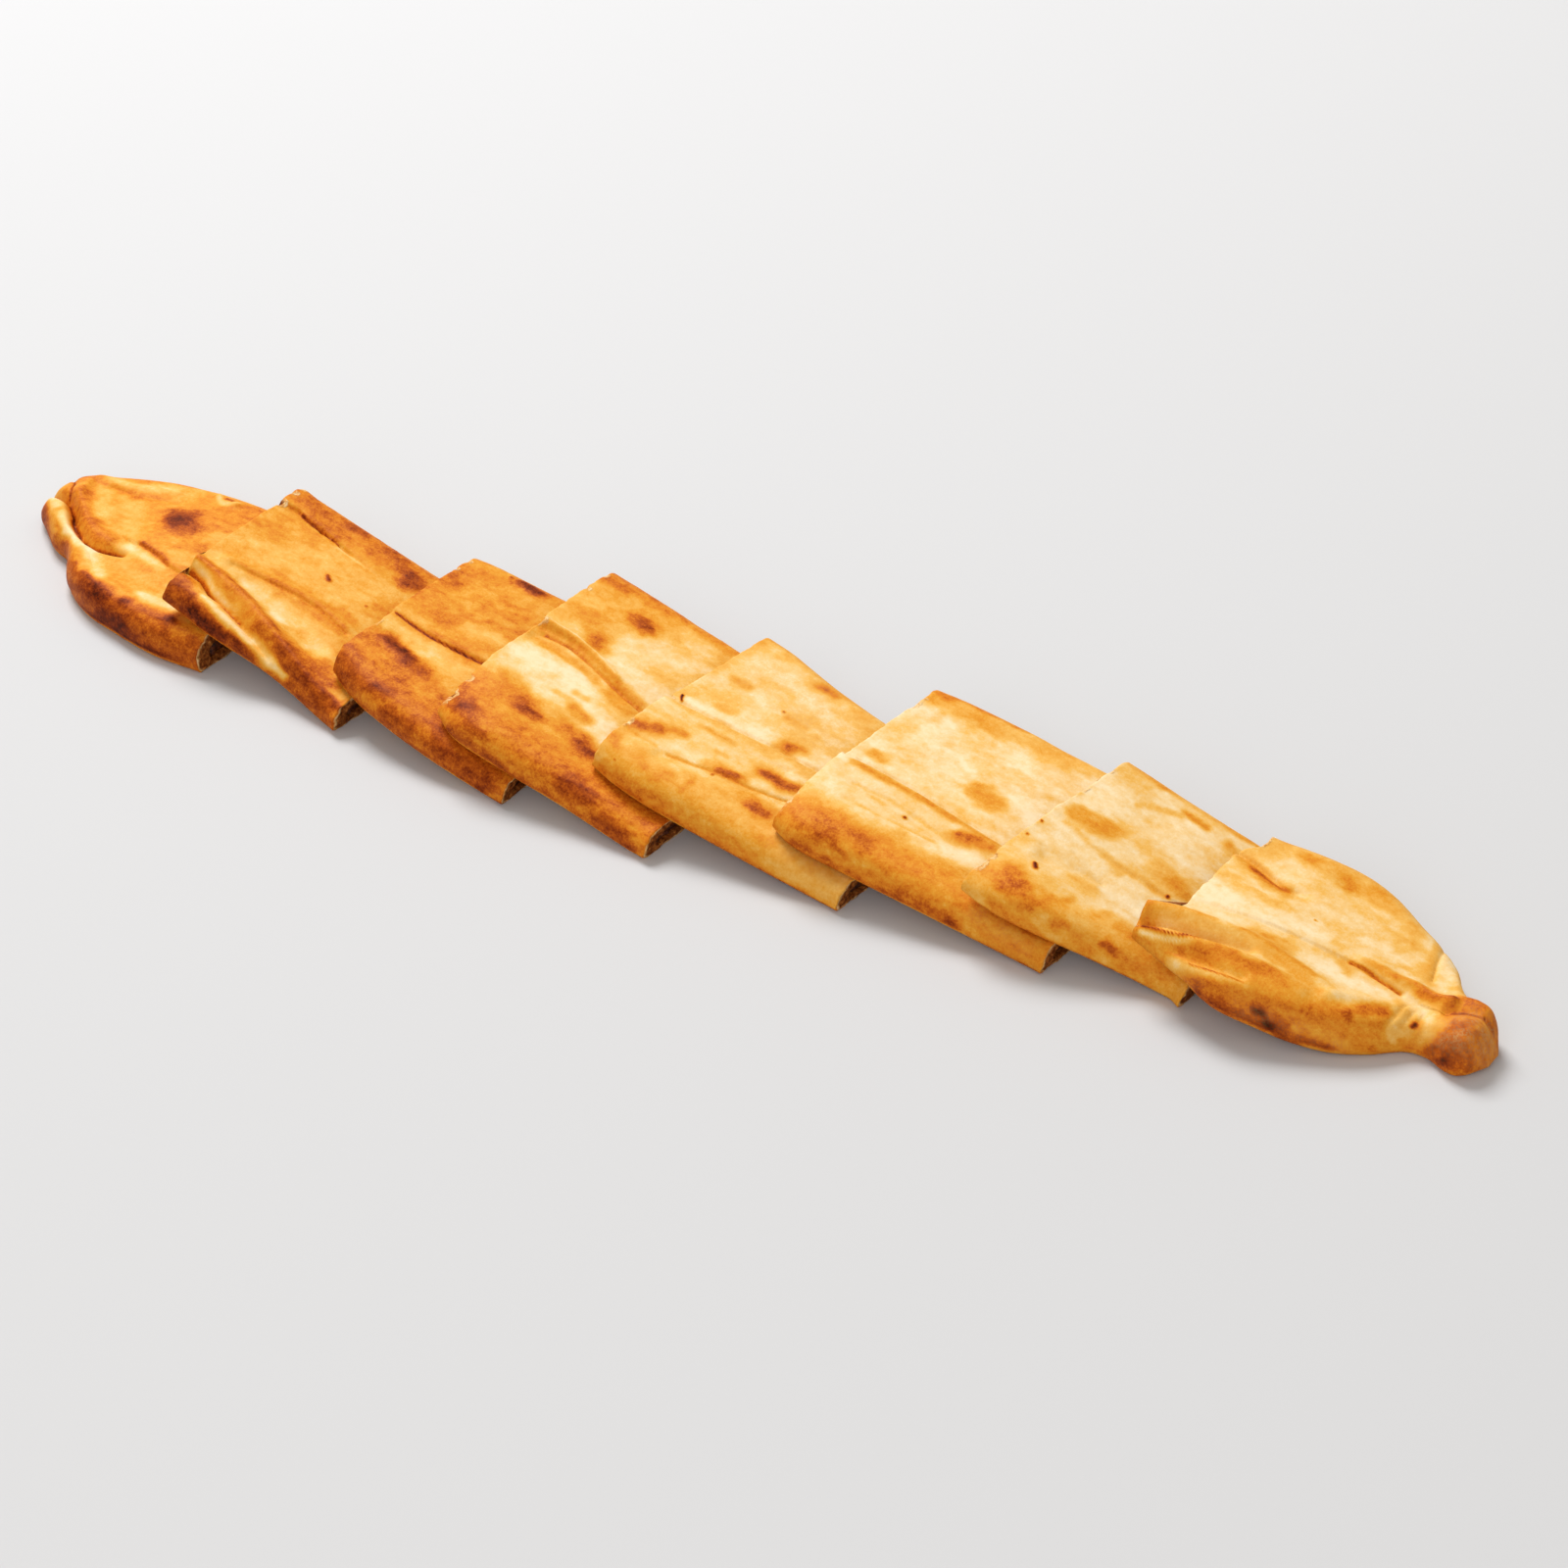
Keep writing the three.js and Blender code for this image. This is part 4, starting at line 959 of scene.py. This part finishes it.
def x_at(piece, here, y):
    """x of the piece at y: its station's x, plus the skew of its ends and the notch torn
    out of its left end, less its tongue."""
    across = np.clip((y - here.near) / (here.far - here.near), 0, 1)
    out = ease((TONGUE_WIDTH - across) / TONGUE_EASE) * near_left_end(here)
    shift = here.lean * across - piece.tongue * out
    if piece.notch:
        middle, half, depth = piece.notch
        from_left = here.x - piece.stations[0][0]
        shift = shift + depth * np.exp(-(((y - middle) / half) ** 6) - from_left / (2 * depth))
    return here.x + shift


def section_y(here, loop):
    """y of the section's points at each ring."""
    near, far, under, over = loop[:4]
    width = here.far - here.near
    reach_under = np.minimum(SIDE_UNDER, width * SIDE_SHARES[0])
    reach_over = np.minimum(SIDE_OVER, width * SIDE_SHARES[1])
    return here.near * near + here.far * far + reach_under * under + reach_over * over


def outer_skin(piece, here, loop):
    """Rings round the outside. x also moves right in the undercut. z is the widest line's
    height plus the rise times the way down to the underside, or up to the folded top."""
    rise = loop[4]
    y = section_y(here, loop)
    across = (y - here.near) / (here.far - here.near)
    below = ease((UNDERCUT_TOP - rise) / (UNDERCUT_TOP - UNDERCUT_BOTTOM))
    below = below * ease((UNDERCUT_WIDTH - across) / UNDERCUT_EASE)
    x = x_at(piece, here, y) + piece.undercut * below * near_left_end(here)
    thick = here.thick * thickness_left(piece, here, y)
    widest = here.under + thick * SIDE_WIDEST
    folded = thick * (1 - SIDE_WIDEST) + fold_height(piece.folds, x, y)
    crown = np.maximum(folded, thick * THINNEST_FOLD)
    z = widest + rise * np.where(rise < 0, widest - here.under, crown)
    return np.stack([x, y, z], axis=-1)


def near_wall(piece, here):
    """Thickness of the dough at the near side, which goes over to CUT_WALL at a right cut."""
    right = piece.near_wall if piece.tip == "right" else CUT_WALL
    return mix(piece.near_wall, right, ease((here.share - 0.4) / 0.5))


def floor_and_roof(piece, here, y):
    """Heights between which the tunnel lies at y."""
    thick = here.thick * thickness_left(piece, here, y)
    return here.under + thick * FLOOR_SHARE, here.under + thick * ROOF_SHARE


def tunnel_skin(piece, here, loop):
    """Rings that line the filling's tunnel: the section drawn in by the walls, floor and
    roof of dough."""
    across = (section_y(here, loop) - here.near) / (here.far - here.near)
    inside = mix(here.near + near_wall(piece, here), here.far - SIDE_WALL, across)
    floor, roof = floor_and_roof(piece, here, inside)
    z = mix(floor, roof, (loop[4] + 1) / 2)
    return np.stack([x_at(piece, here, inside), inside, z], axis=-1)


def leaned(here, points):
    """The cuts were made square to the slice before it was laid on its neighbour, so every
    point moves along x by its depth under the top times the slope that the slice lies at."""
    top = here.under + here.thick
    points[..., 0] += (points[..., 2] - top) * here.slope
    return points


def outward(rings):
    """Unit normals of a skin of rings: the way round each ring crossed with the way along."""
    around = np.roll(rings, -1, axis=1) - np.roll(rings, 1, axis=1)
    along = np.gradient(rings, axis=0)
    normal = np.cross(around, along)
    return normal / np.maximum(np.linalg.norm(normal, axis=-1, keepdims=True), 1e-9)


# ------------------------------------------------------------------ tone and painted shade


def brush(points, width, line, sharpness=2.6):
    """Strength of a soft brush stroke along a line: exp(-(d/w)^sharpness)."""
    gap = nearest_on_line(line, points[..., 0], points[..., 1])[0]
    return np.exp(-((gap / width) ** sharpness))


def spread_out(here, flat, rise):
    """The skin rolled out flat: y moves outwards by how far the point lies under the top,
    down the near side for the near half and down the far side for the far half."""
    drop = (here.under + here.thick - flat[..., 2]) * ease((1 - rise) / 0.1)
    side = np.where(flat[..., 1] < (here.near + here.far) / 2, -1.0, 1.0)
    spread = flat.copy()
    spread[..., 1] += side * drop
    spread[..., 2] = 0
    return spread


def browning_and_shade(piece, here, spread, rise):
    """How brown the skin is at each point, painted shade included. The top, near side and far
    side have their own tones, blended by the distance from the edges; the near side's darker
    tone is partly its real bake and partly painted shade, as it is turned from the light. Each
    mark then pulls the tone towards its own, on points that noise shifts a little so that no
    mark has a clean outline; the dark lines along creases, slits and a crack are painted shade."""
    tones = piece.tones
    wander = np.stack([rough(spread, 6.0, 11), rough(spread, 6.0, 23), spread[..., 2]], axis=-1)
    at = spread + 1.5 * wander
    fine = rough(spread, (3.2, 2.0, 9.0), 61)
    patchy = rough(spread, (26.0, 15.0, 9.0), 31) * 0.05 + rough(spread, (6.0, 3.5, 9.0), 47) * 0.05
    clouds = ease(0.5 + 0.75 * rough(at, (15.0, 8.0, 9.0), 53, 4))
    from_near = (at[..., 1] - here.near) / tones.near_reach
    from_far = (here.far - at[..., 1]) / tones.far_reach
    tone = mix(tones.top + tones.mottle * clouds, tones.far, ease(1.2 - from_far))
    # The near side's darker tone: partly real bake, partly painted shade.
    tone = mix(tone, tones.near, ease(1.25 - from_near)) + patchy
    for target, strength, width, line, *sharpness in piece.marks:
        at = spread + min(1.0, 0.1 + 0.2 * width) * wander
        tone = mix(tone, target + patchy * 0.6, strength * brush(at, width, line, *sharpness))
    tone = tone + fine * (0.015 + 0.03 * ease((tone - 0.2) / 0.4))
    below = ease((-0.15 - rise) / 0.5)
    underside = 0.56 + rough(spread, (16.0, 11.0, 9.0), 59) * 0.16
    return np.clip(mix(tone, underside, below), 0, 1)


def flour_dust(piece, spread, points):
    """Pale dusting: brush strokes broken up by a fine noise."""
    dust = np.zeros(spread.shape[:2])
    broken = 0.7 + 0.5 * rough(points, 3.0, 71)
    for strength, width, line in piece.flour:
        dust = np.maximum(dust, strength * brush(spread, width, line))
    return np.clip(dust * broken, 0, 1)


def baked_relief(spread, points, tone, rise):
    """Height of the baked skin over its smooth form, in mm: slow waves, wrinkles that run
    along the bread where it stayed pale, blisters where it browned, and a fine grain."""
    above = ease((rise + 0.4) / 0.6)
    waves = 0.45 * noise(spread, (30.0, 16.0, 16.0), 83)
    waves += 0.22 * noise(spread, (13.0, 7.0, 7.0), 89)
    pale = ease((0.5 - tone) / 0.3)
    wrinkles = 0.10 * noise(spread, (11.0, 1.9, 1.9), 97)
    wrinkles += 0.07 * noise(spread, (6.0, 1.3, 1.3), 101)
    blisters = 0.35 * ease((tone - 0.5) / 0.35)
    grain = 0.05 * noise(points, 1.3, 107) * ease((tone - 0.3) / 0.3)
    return above * (waves + pale * wrinkles + blisters) + grain


# ------------------------------------------------------------------ skins and meshes


def ring_faces(rings, points, wrapped):
    """Quads between neighbouring rings of a skin whose points are stored ring by ring; a
    wrapped skin also joins its last ring to its first."""
    ring = np.arange(rings if wrapped else rings - 1)[:, None]
    point = np.arange(points)[None, :]
    after, beyond = (ring + 1) % rings, (point + 1) % points
    corners = (ring * points + point, ring * points + beyond,
               after * points + beyond, after * points + point)
    return np.stack(np.broadcast_arrays(*corners), axis=-1).reshape(-1, 4)


def pole_faces(start, points, pole, last):
    """Triangles that close a skin's first or last ring with one middle point."""
    here = start + np.arange(points)
    beyond = start + (np.arange(points) + 1) % points
    middle = np.full(points, pole)
    order = (here, beyond, middle) if last else (beyond, here, middle)
    return np.stack(order, axis=-1)


def make_mesh(name, points, faces, attributes=None):
    """A smooth-shaded mesh object in metres, with its point attributes."""
    mesh = bpy.data.meshes.new(name)
    mesh.from_pydata(((points - MIDDLE) * METRES).tolist(), [], faces)
    for key, values in (attributes or {}).items():
        layer = mesh.attributes.new(key, "FLOAT", "POINT")
        layer.data.foreach_set("value", np.ascontiguousarray(values, dtype=np.float32))
    mesh.shade_smooth()
    made = bpy.data.objects.new(name, mesh)
    bpy.context.scene.collection.objects.link(made)
    return made


def cut_rings(outer, tunnel, outward_x, seed):
    """Rings across a cut, from the outside to the tunnel: straight lines between the two
    rings, with a rough crumb raised and sunk along x, and the skin's edge rounded off."""
    share = (np.arange(1, CUT_RINGS + 1) / (CUT_RINGS + 1))[:, None, None] ** 1.4
    rings = mix(outer[None], tunnel[None], share)
    depth = np.linalg.norm(rings - outer[None], axis=-1)
    crumb = 0.35 * rough(rings, 1.8, seed) + 0.3 * noise(rings, 5.0, seed + 7)
    rings[..., 0] += outward_x * (crumb * ease(depth / 1.2) + 0.25 * ease(depth / 0.5))
    return rings, depth + 0.8 * noise(rings, 2.0, seed + 11) * ease(depth / 0.8)


def ragged(piece, rings, here):
    """Moves the ends of the outer rings along x, so that a cut edge is uneven, and more
    where a nick was torn out of the left edge: its depth times exp(-(d/w)^4). Returns the
    rings and how much open crumb shows at that edge."""
    length = piece.stations[-1][0] - piece.stations[0][0]
    uneven = 0.4 * rough(rings, (40.0, 3.0, 3.0), 113)
    uneven += 0.35 * noise(rings, (40.0, 11.0, 11.0), 127)
    from_left, from_right = here.share * length, (1 - here.share) * length
    torn = np.zeros(rings.shape[:2])
    if piece.tip != "right":
        rings[..., 0] += uneven * np.exp(-from_right / 3.0)
    if piece.tip == "left":
        return rings, torn
    jagged = 1 + 0.6 * rough(rings, (40.0, 1.6, 1.6), 137)
    for y, width, depth in piece.nicks:
        torn += depth * jagged * np.exp(-(((rings[..., 1] - y) / width) ** 4))
    rings[..., 0] += uneven * np.exp(-from_left / 3.0) + torn * np.exp(-from_left / 5.0)
    ledge = 0.5 + 0.9 * np.minimum(torn, 1.5) + 0.5 * noise(rings, (40.0, 2.2, 2.2), 139)
    return rings, ease((torn - 0.25) / 0.5) * (from_left < ledge)


def baked_outside(piece, loop):
    """The outer rings of a piece with their relief, and their tone, painted shade included, flour
    and crumb.
    """
    length = piece.stations[-1][0] - piece.stations[0][0]
    share = np.linspace(0, 1, int(length / RING_SPACING) + 1)
    if piece.tip == "left":
        share = share**TIP_CROWDING
    elif piece.tip == "right":
        share = 1 - (1 - share) ** TIP_CROWDING
    rise = loop[4][None, :]
    here = sizes_at(piece, share)
    flat = outer_skin(piece, here, loop)
    spread = spread_out(here, flat, rise)
    tone = browning_and_shade(piece, here, spread, rise)
    outer = leaned(here, flat.copy())
    dust = flour_dust(piece, spread, outer)
    outer += outward(outer) * baked_relief(spread, outer, tone, rise)[..., None]
    outer, torn = ragged(piece, outer, here)
    return outer, tone, dust, torn


def open_crumb(depth):
    """0 in the baked skin, 1 in the crumb under it, rising to 2 deeper in, where it is brown
    partly from the meat's juice and partly as painted shade of the deep cut.
    """
    return ease((depth - CRUST_EDGE) / 0.5) + ease((depth - 0.8) / 1.4)


def crust(piece):
    """The baked dough of one piece: a single closed skin of rings. A stretch of skin is its
    rings and their tone, painted shade included, flour and crumb. The rings of a closed tip
    come last or first, so that a pole can close them."""
    loop = section_loop(UNDER_POINTS, SIDE_POINTS, TOP_POINTS)
    outer, tone, dust, torn = baked_outside(piece, loop)
    inner_here = sizes_at(piece, np.linspace(piece.hollow[1], piece.hollow[0], TUNNEL_RINGS))
    tunnel = leaned(inner_here, tunnel_skin(piece, inner_here, loop))
    skin = [(outer, tone, dust, torn)]
    if piece.tip != "right":
        rings, depth = cut_rings(outer[-1], tunnel[0], 1.0, 131)
        skin.append((rings, tone[-1], 0.0, open_crumb(depth)))
    # The tunnel's lining takes the darkest crumb: juice-brown and painted shade.
    skin.append((tunnel, 0.5, 0.0, 2.0))
    if piece.tip != "left":
        rings, depth = cut_rings(outer[0], tunnel[-1], -1.0, 149)
        skin.append((rings[::-1], tone[0], 0.0, open_crumb(depth[::-1])))
    if piece.tip == "right":
        skin = skin[1:] + skin[:1]
    rings = np.concatenate([stretch[0] for stretch in skin])
    grids = {}
    for i, key in enumerate(("browning_and_shade", "flour", "crumb"), start=1):
        spread = [np.broadcast_to(stretch[i], stretch[0].shape[:2]) for stretch in skin]
        grids[key] = np.concatenate(spread)

    number, around = rings.shape[:2]
    points = rings.reshape(-1, 3)
    faces = ring_faces(number, around, wrapped=piece.tip is None).tolist()
    values = {key: grid.ravel() for key, grid in grids.items()}
    if piece.tip:
        poles = np.stack([rings[0].mean(axis=0), rings[-1].mean(axis=0)])
        faces += pole_faces(0, around, number * around, last=False).tolist()
        faces += pole_faces((number - 1) * around, around, number * around + 1, last=True).tolist()
        points = np.concatenate([points, poles])
        for key, grid in grids.items():
            values[key] = np.append(values[key], [grid[0].mean(), grid[-1].mean()])
    points[:, 2] = np.maximum(points[:, 2], 0.0)
    return make_mesh(piece.name + "_crust_baked", points, faces, values)


def filling(piece):
    """The minced meat of one piece: a flat bar whose two ends are grids of lumps. Across a
    grid y runs from side to side, and z from a floor to a roof that close at the sides as
    superellipses; the grids' borders are joined by straight runs."""
    across, up = FILLING_GRID
    u = (1 - np.cos(np.linspace(0, np.pi, across)))[:, None] / 2
    v = np.linspace(-1, 1, up)[None, :]
    length = piece.stations[-1][0] - piece.stations[0][0]
    recess = FILLING_RECESS / length
    grids = []
    ends = ((piece.hollow[0] + recess, -1, 151), (piece.hollow[1] - recess, 1, 163))
    for end, facing, seed in ends:
        here = sizes_at(piece, np.array([end]))
        near = here.near + near_wall(piece, here) + FILLING_GAP
        far = here.far - SIDE_WALL - FILLING_GAP
        y = mix(near, far, u) + 0 * v
        side = np.minimum(y - near, far - y)
        round_top = (1 - (1 - np.clip(side / 7.0, 0, 1)) ** SIDE_POWER) ** (1 / SIDE_POWER)
        round_low = (1 - (1 - np.clip(side / 3.0, 0, 1)) ** SIDE_POWER) ** (1 / SIDE_POWER)
        floor, roof = floor_and_roof(piece, here, y)
        half = (roof - floor) / 2 - FILLING_GAP
        z = (floor + roof) / 2 + half * v * np.where(v > 0, round_top, round_low)
        grid = leaned(here, np.stack([x_at(piece, here, y), y, z], axis=-1))
        lumps = np.abs(noise(grid, 3.2, seed)) * 1.5 + 0.5 * rough(grid, 1.4, seed + 3)
        grid[..., 0] += facing * (lumps - 0.7)
        grids.append(grid)
    cells = np.arange(across * up).reshape(across, up)
    quads = np.stack([cells[:-1, :-1], cells[1:, :-1], cells[1:, 1:], cells[:-1, 1:]], axis=-1)
    quads = quads.reshape(-1, 4)
    border = np.concatenate([cells[:-1, 0], cells[-1, :-1], cells[:0:-1, -1], cells[0, :0:-1]])
    beyond, offset = np.roll(border, -1), across * up
    sides = np.stack([border, beyond, beyond + offset, border + offset], axis=-1)
    faces = np.concatenate([quads[:, ::-1], quads + offset, sides])
    points = np.concatenate([grid.reshape(-1, 3) for grid in grids])
    return make_mesh(piece.name + "_filling_minced", points, faces.tolist())


# ------------------------------------------------------------------ materials


def srgb(code):
    """Linear colour of an sRGB hex value."""
    values = np.array([int(code[i:i + 2], 16) for i in (1, 3, 5)]) / 255
    linear = np.where(values <= 0.04045, values / 12.92, ((values + 0.055) / 1.055) ** 2.4)
    return (*linear.tolist(), 1.0)


def add(tree, kind, inputs=None, **settings):
    """Adds a node, sets its properties, and gives each named input a value, or a link
    where the value is another node's output."""
    made = tree.nodes.new(kind)
    for name, value in settings.items():
        setattr(made, name, value)
    for name, value in (inputs or {}).items():
        if isinstance(value, bpy.types.NodeSocket):
            tree.links.new(value, made.inputs[name])
        else:
            made.inputs[name].default_value = value
    return made


def new_material(name):
    """An empty node material, and its tree."""
    made = bpy.data.materials.new(name)
    made.use_nodes = True
    made.node_tree.nodes.clear()
    return made, made.node_tree


def ramp(tree, factor, stops):
    """A colour ramp through (position, hex) stops."""
    made = add(tree, "ShaderNodeValToRGB", {"Fac": factor})
    elements = made.color_ramp.elements
    while len(elements) < len(stops):
        elements.new(0.5)
    for element, (position, code) in zip(elements, stops):
        element.position = position
        element.color = srgb(code)
    return made.outputs["Color"]


def per_metre(millimetres):
    """Scale of a texture with one cell every so many millimetres."""
    return 1.0 / (millimetres * METRES)


def grain(tree, place, size, detail, roughness=0.55):
    """Cloudy noise at a place, with clouds of about so many millimetres."""
    inputs = {"Vector": place, "Scale": per_metre(size), "Detail": detail,
              "Roughness": roughness}
    return add(tree, "ShaderNodeTexNoise", inputs).outputs["Fac"]


def bump(tree, height, strength, millimetres):
    """Normals of a surface raised by so many millimetres where the height is 1."""
    inputs = {"Height": height, "Strength": strength, "Distance": millimetres * METRES}
    return add(tree, "ShaderNodeBump", inputs).outputs["Normal"]


def surface(tree, inputs):
    """Ends a material with a principled surface."""
    shader = add(tree, "ShaderNodeBsdfPrincipled", inputs)
    add(tree, "ShaderNodeOutputMaterial", {"Surface": shader.outputs[0]})


def baked_dough():
    """Wheat dough, baked on stone and brushed with butter: satin skin from cream through
    gold to dark brown where it blistered, speckled, with painted shade in its creases and a dull
    open crumb where cut, darker deeper in partly as painted shade."""
    material, tree = new_material("baked_wheat_dough")
    place = add(tree, "ShaderNodeTexCoord").outputs["Object"]
    tone = add(tree, "ShaderNodeAttribute", attribute_name="browning_and_shade").outputs["Fac"]
    crumb = add(tree, "ShaderNodeAttribute", attribute_name="crumb").outputs["Fac"]
    flour = add(tree, "ShaderNodeAttribute", attribute_name="flour").outputs["Fac"]

    def maths(operation, a, b=0.0):
        return add(tree, "ShaderNodeMath", {0: a, 1: b}, operation=operation).outputs[0]

    # Streaks run along the bread, mottles are its 3 mm clouds, and speckles its fine freckles.
    along = add(tree, "ShaderNodeMapping", {"Vector": place, "Scale": (0.3, 1.0, 1.0)})
    streaks = grain(tree, along.outputs["Vector"], 3.0, 3.0)
    mottle = grain(tree, place, 2.8, 4.0)
    speckle = grain(tree, place, 0.9, 4.0, 0.7)
    # Browned skin is speckled more than pale skin.
    contrast = add(tree, "ShaderNodeMapRange",
                   {"Value": tone, "From Min": 0.1, "From Max": 0.7, "To Min": 0.18,
                    "To Max": 0.45}).outputs[0]
    shade = tone
    for pattern, amount in ((streaks, 0.1), (mottle, 0.28), (speckle, contrast)):
        shade = maths("ADD", shade, maths("MULTIPLY", maths("SUBTRACT", pattern, 0.5), amount))
    skin = ramp(tree, shade, [
        (0.0, "#f0dab0"), (0.12, "#ebc88c"), (0.25, "#e7b35a"), (0.42, "#dd962d"),
        (0.55, "#d27a1b"), (0.66, "#b45610"), (0.8, "#823106"), (0.92, "#501702"),
        (1.0, "#2c0d02"),
    ])
    # The open crumb is pale where it is fresh, and brown deeper in, partly from the meat's juice
    # and partly as painted shade where the cut lies in shadow.
    inside = grain(tree, place, 1.6, 4.0)
    fresh = ramp(tree, inside, [(0.3, "#b87534"), (0.5, "#e2b372"), (0.7, "#f0d5a4")])
    soaked_and_shaded = ramp(tree, inside, [(0.3, "#4a1d08"), (0.5, "#83461a"), (0.7, "#b87436")])

    def blend(factor, a, b):
        inputs = {"Factor": factor, 6: a, 7: b}
        return add(tree, "ShaderNodeMix", inputs, data_type="RGBA").outputs[2]

    # Flour lies in grains over the skin.
    bare = blend(crumb, skin, blend(maths("SUBTRACT", crumb, 1.0), fresh, soaked_and_shaded))
    grains = maths("MULTIPLY", maths("SUBTRACT", speckle, 0.38), 5.0)
    colour = blend(maths("MULTIPLY", flour, maths("MINIMUM", grains, 1.0)), bare, srgb("#dcae6c"))

    # Pores pit the crumb, and a fine grain roughens the skin.
    pores = add(tree, "ShaderNodeTexVoronoi",
                {"Vector": place, "Scale": per_metre(1.4)}).outputs["Distance"]
    rough_skin = maths("MULTIPLY", speckle, 0.5)
    rough_crumb = maths("MULTIPLY", pores, 1.6)
    height = add(tree, "ShaderNodeMix", {"Factor": crumb, "A": rough_skin, "B": rough_crumb},
                 data_type="FLOAT").outputs[0]
    normal = bump(tree, height, 0.5, 0.5)
    # Butter gives the skin a satin sheen; crumb and flour are dull.
    sheen = add(tree, "ShaderNodeMapRange",
                {"Value": maths("ADD", crumb, flour), "To Min": 0.5, "To Max": 0.85}).outputs[0]
    surface(tree, {"Base Color": colour, "Roughness": sheen, "Normal": normal, "IOR": 1.45,
                   "Specular IOR Level": 0.07})
    return material


def minced_meat():
    """Minced meat, baked inside the dough: moist dark brown grains with paler fat."""
    material, tree = new_material("baked_minced_meat")
    place = add(tree, "ShaderNodeTexCoord").outputs["Object"]
    grains = grain(tree, place, 2.2, 4.0, 0.6)
    colour = ramp(tree, grains, [
        (0.3, "#2e130a"), (0.5, "#5a2a16"), (0.62, "#7a4222"), (0.75, "#a3663a"),
    ])
    normal = bump(tree, grains, 0.6, 0.8)
    surface(tree, {"Base Color": colour, "Roughness": 0.42, "Normal": normal, "IOR": 1.45})
    return material


def studio_floor():
    """Matte pale paper sweep."""
    material, tree = new_material("matte_paper")
    surface(tree, {"Base Color": srgb("#c8c9cb"), "Roughness": 0.9, "Specular IOR Level": 0.2})
    return material


# ------------------------------------------------------------------ the scene

CAMERA_PLACE = Vector((0.76925, -1.18985, 0.9033))
CAMERA_FORWARD = Vector((-0.4414, 0.7162, -0.5406))
CAMERA_LENS = 106.04  # mm, on a 36 mm wide sensor


def photo_camera():
    """The camera at the photograph's place, found from the true size of what it shows."""
    data = bpy.data.cameras.new("photo_camera")
    data.lens, data.sensor_width = CAMERA_LENS, 36.0
    data.clip_start, data.clip_end = 0.05, 20.0
    camera = bpy.data.objects.new("photo_camera", data)
    camera.location = CAMERA_PLACE
    camera.rotation_mode = "QUATERNION"
    camera.rotation_quaternion = CAMERA_FORWARD.to_track_quat("-Z", "Y")
    bpy.context.scene.collection.objects.link(camera)
    bpy.context.scene.camera = camera


def soft_light(name, place, size, watts):
    """A square white soft box that faces the middle of the bread."""
    data = bpy.data.lights.new(name, "AREA")
    data.size, data.energy = size, watts
    light = bpy.data.objects.new(name, data)
    light.location = place
    light.rotation_mode = "QUATERNION"
    light.rotation_quaternion = (-Vector(place)).to_track_quat("-Z", "Y")
    bpy.context.scene.collection.objects.link(light)


def surroundings():
    """A plain pale floor, an even warm white room, a soft box and a weaker one in front."""
    mesh = bpy.data.meshes.new("floor")
    mesh.from_pydata([(-6, -6, 0), (6, -6, 0), (6, 6, 0), (-6, 6, 0)], [], [(0, 1, 2, 3)])
    floor = bpy.data.objects.new("floor", mesh)
    floor.data.materials.append(studio_floor())
    bpy.context.scene.collection.objects.link(floor)
    world = bpy.data.worlds.new("warm_white_room")
    world.use_nodes = True
    walls = world.node_tree.nodes["Background"]
    walls.inputs["Color"].default_value = srgb("#fff8ef")
    walls.inputs["Strength"].default_value = 0.47
    bpy.context.scene.world = world
    soft_light("key_box", (-1.6, 1.15, 2.55), 1.4, 108.0)
    soft_light("fill_box", (0.7, -1.9, 1.0), 1.6, 17.0)
    bpy.context.scene.view_settings.view_transform = "Standard"


def dress(made, node, material):
    """Gives a piece its material and ties it to the solid that it stands for."""
    made.data.materials.append(material)
    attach(made, "root")
    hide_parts(node)


photo_camera()
surroundings()
dough, meat = baked_dough(), minced_meat()
for each in PIECES:
    dress(crust(each), each.name + "_crust", dough)
    dress(filling(each), each.name + "_filling", meat)
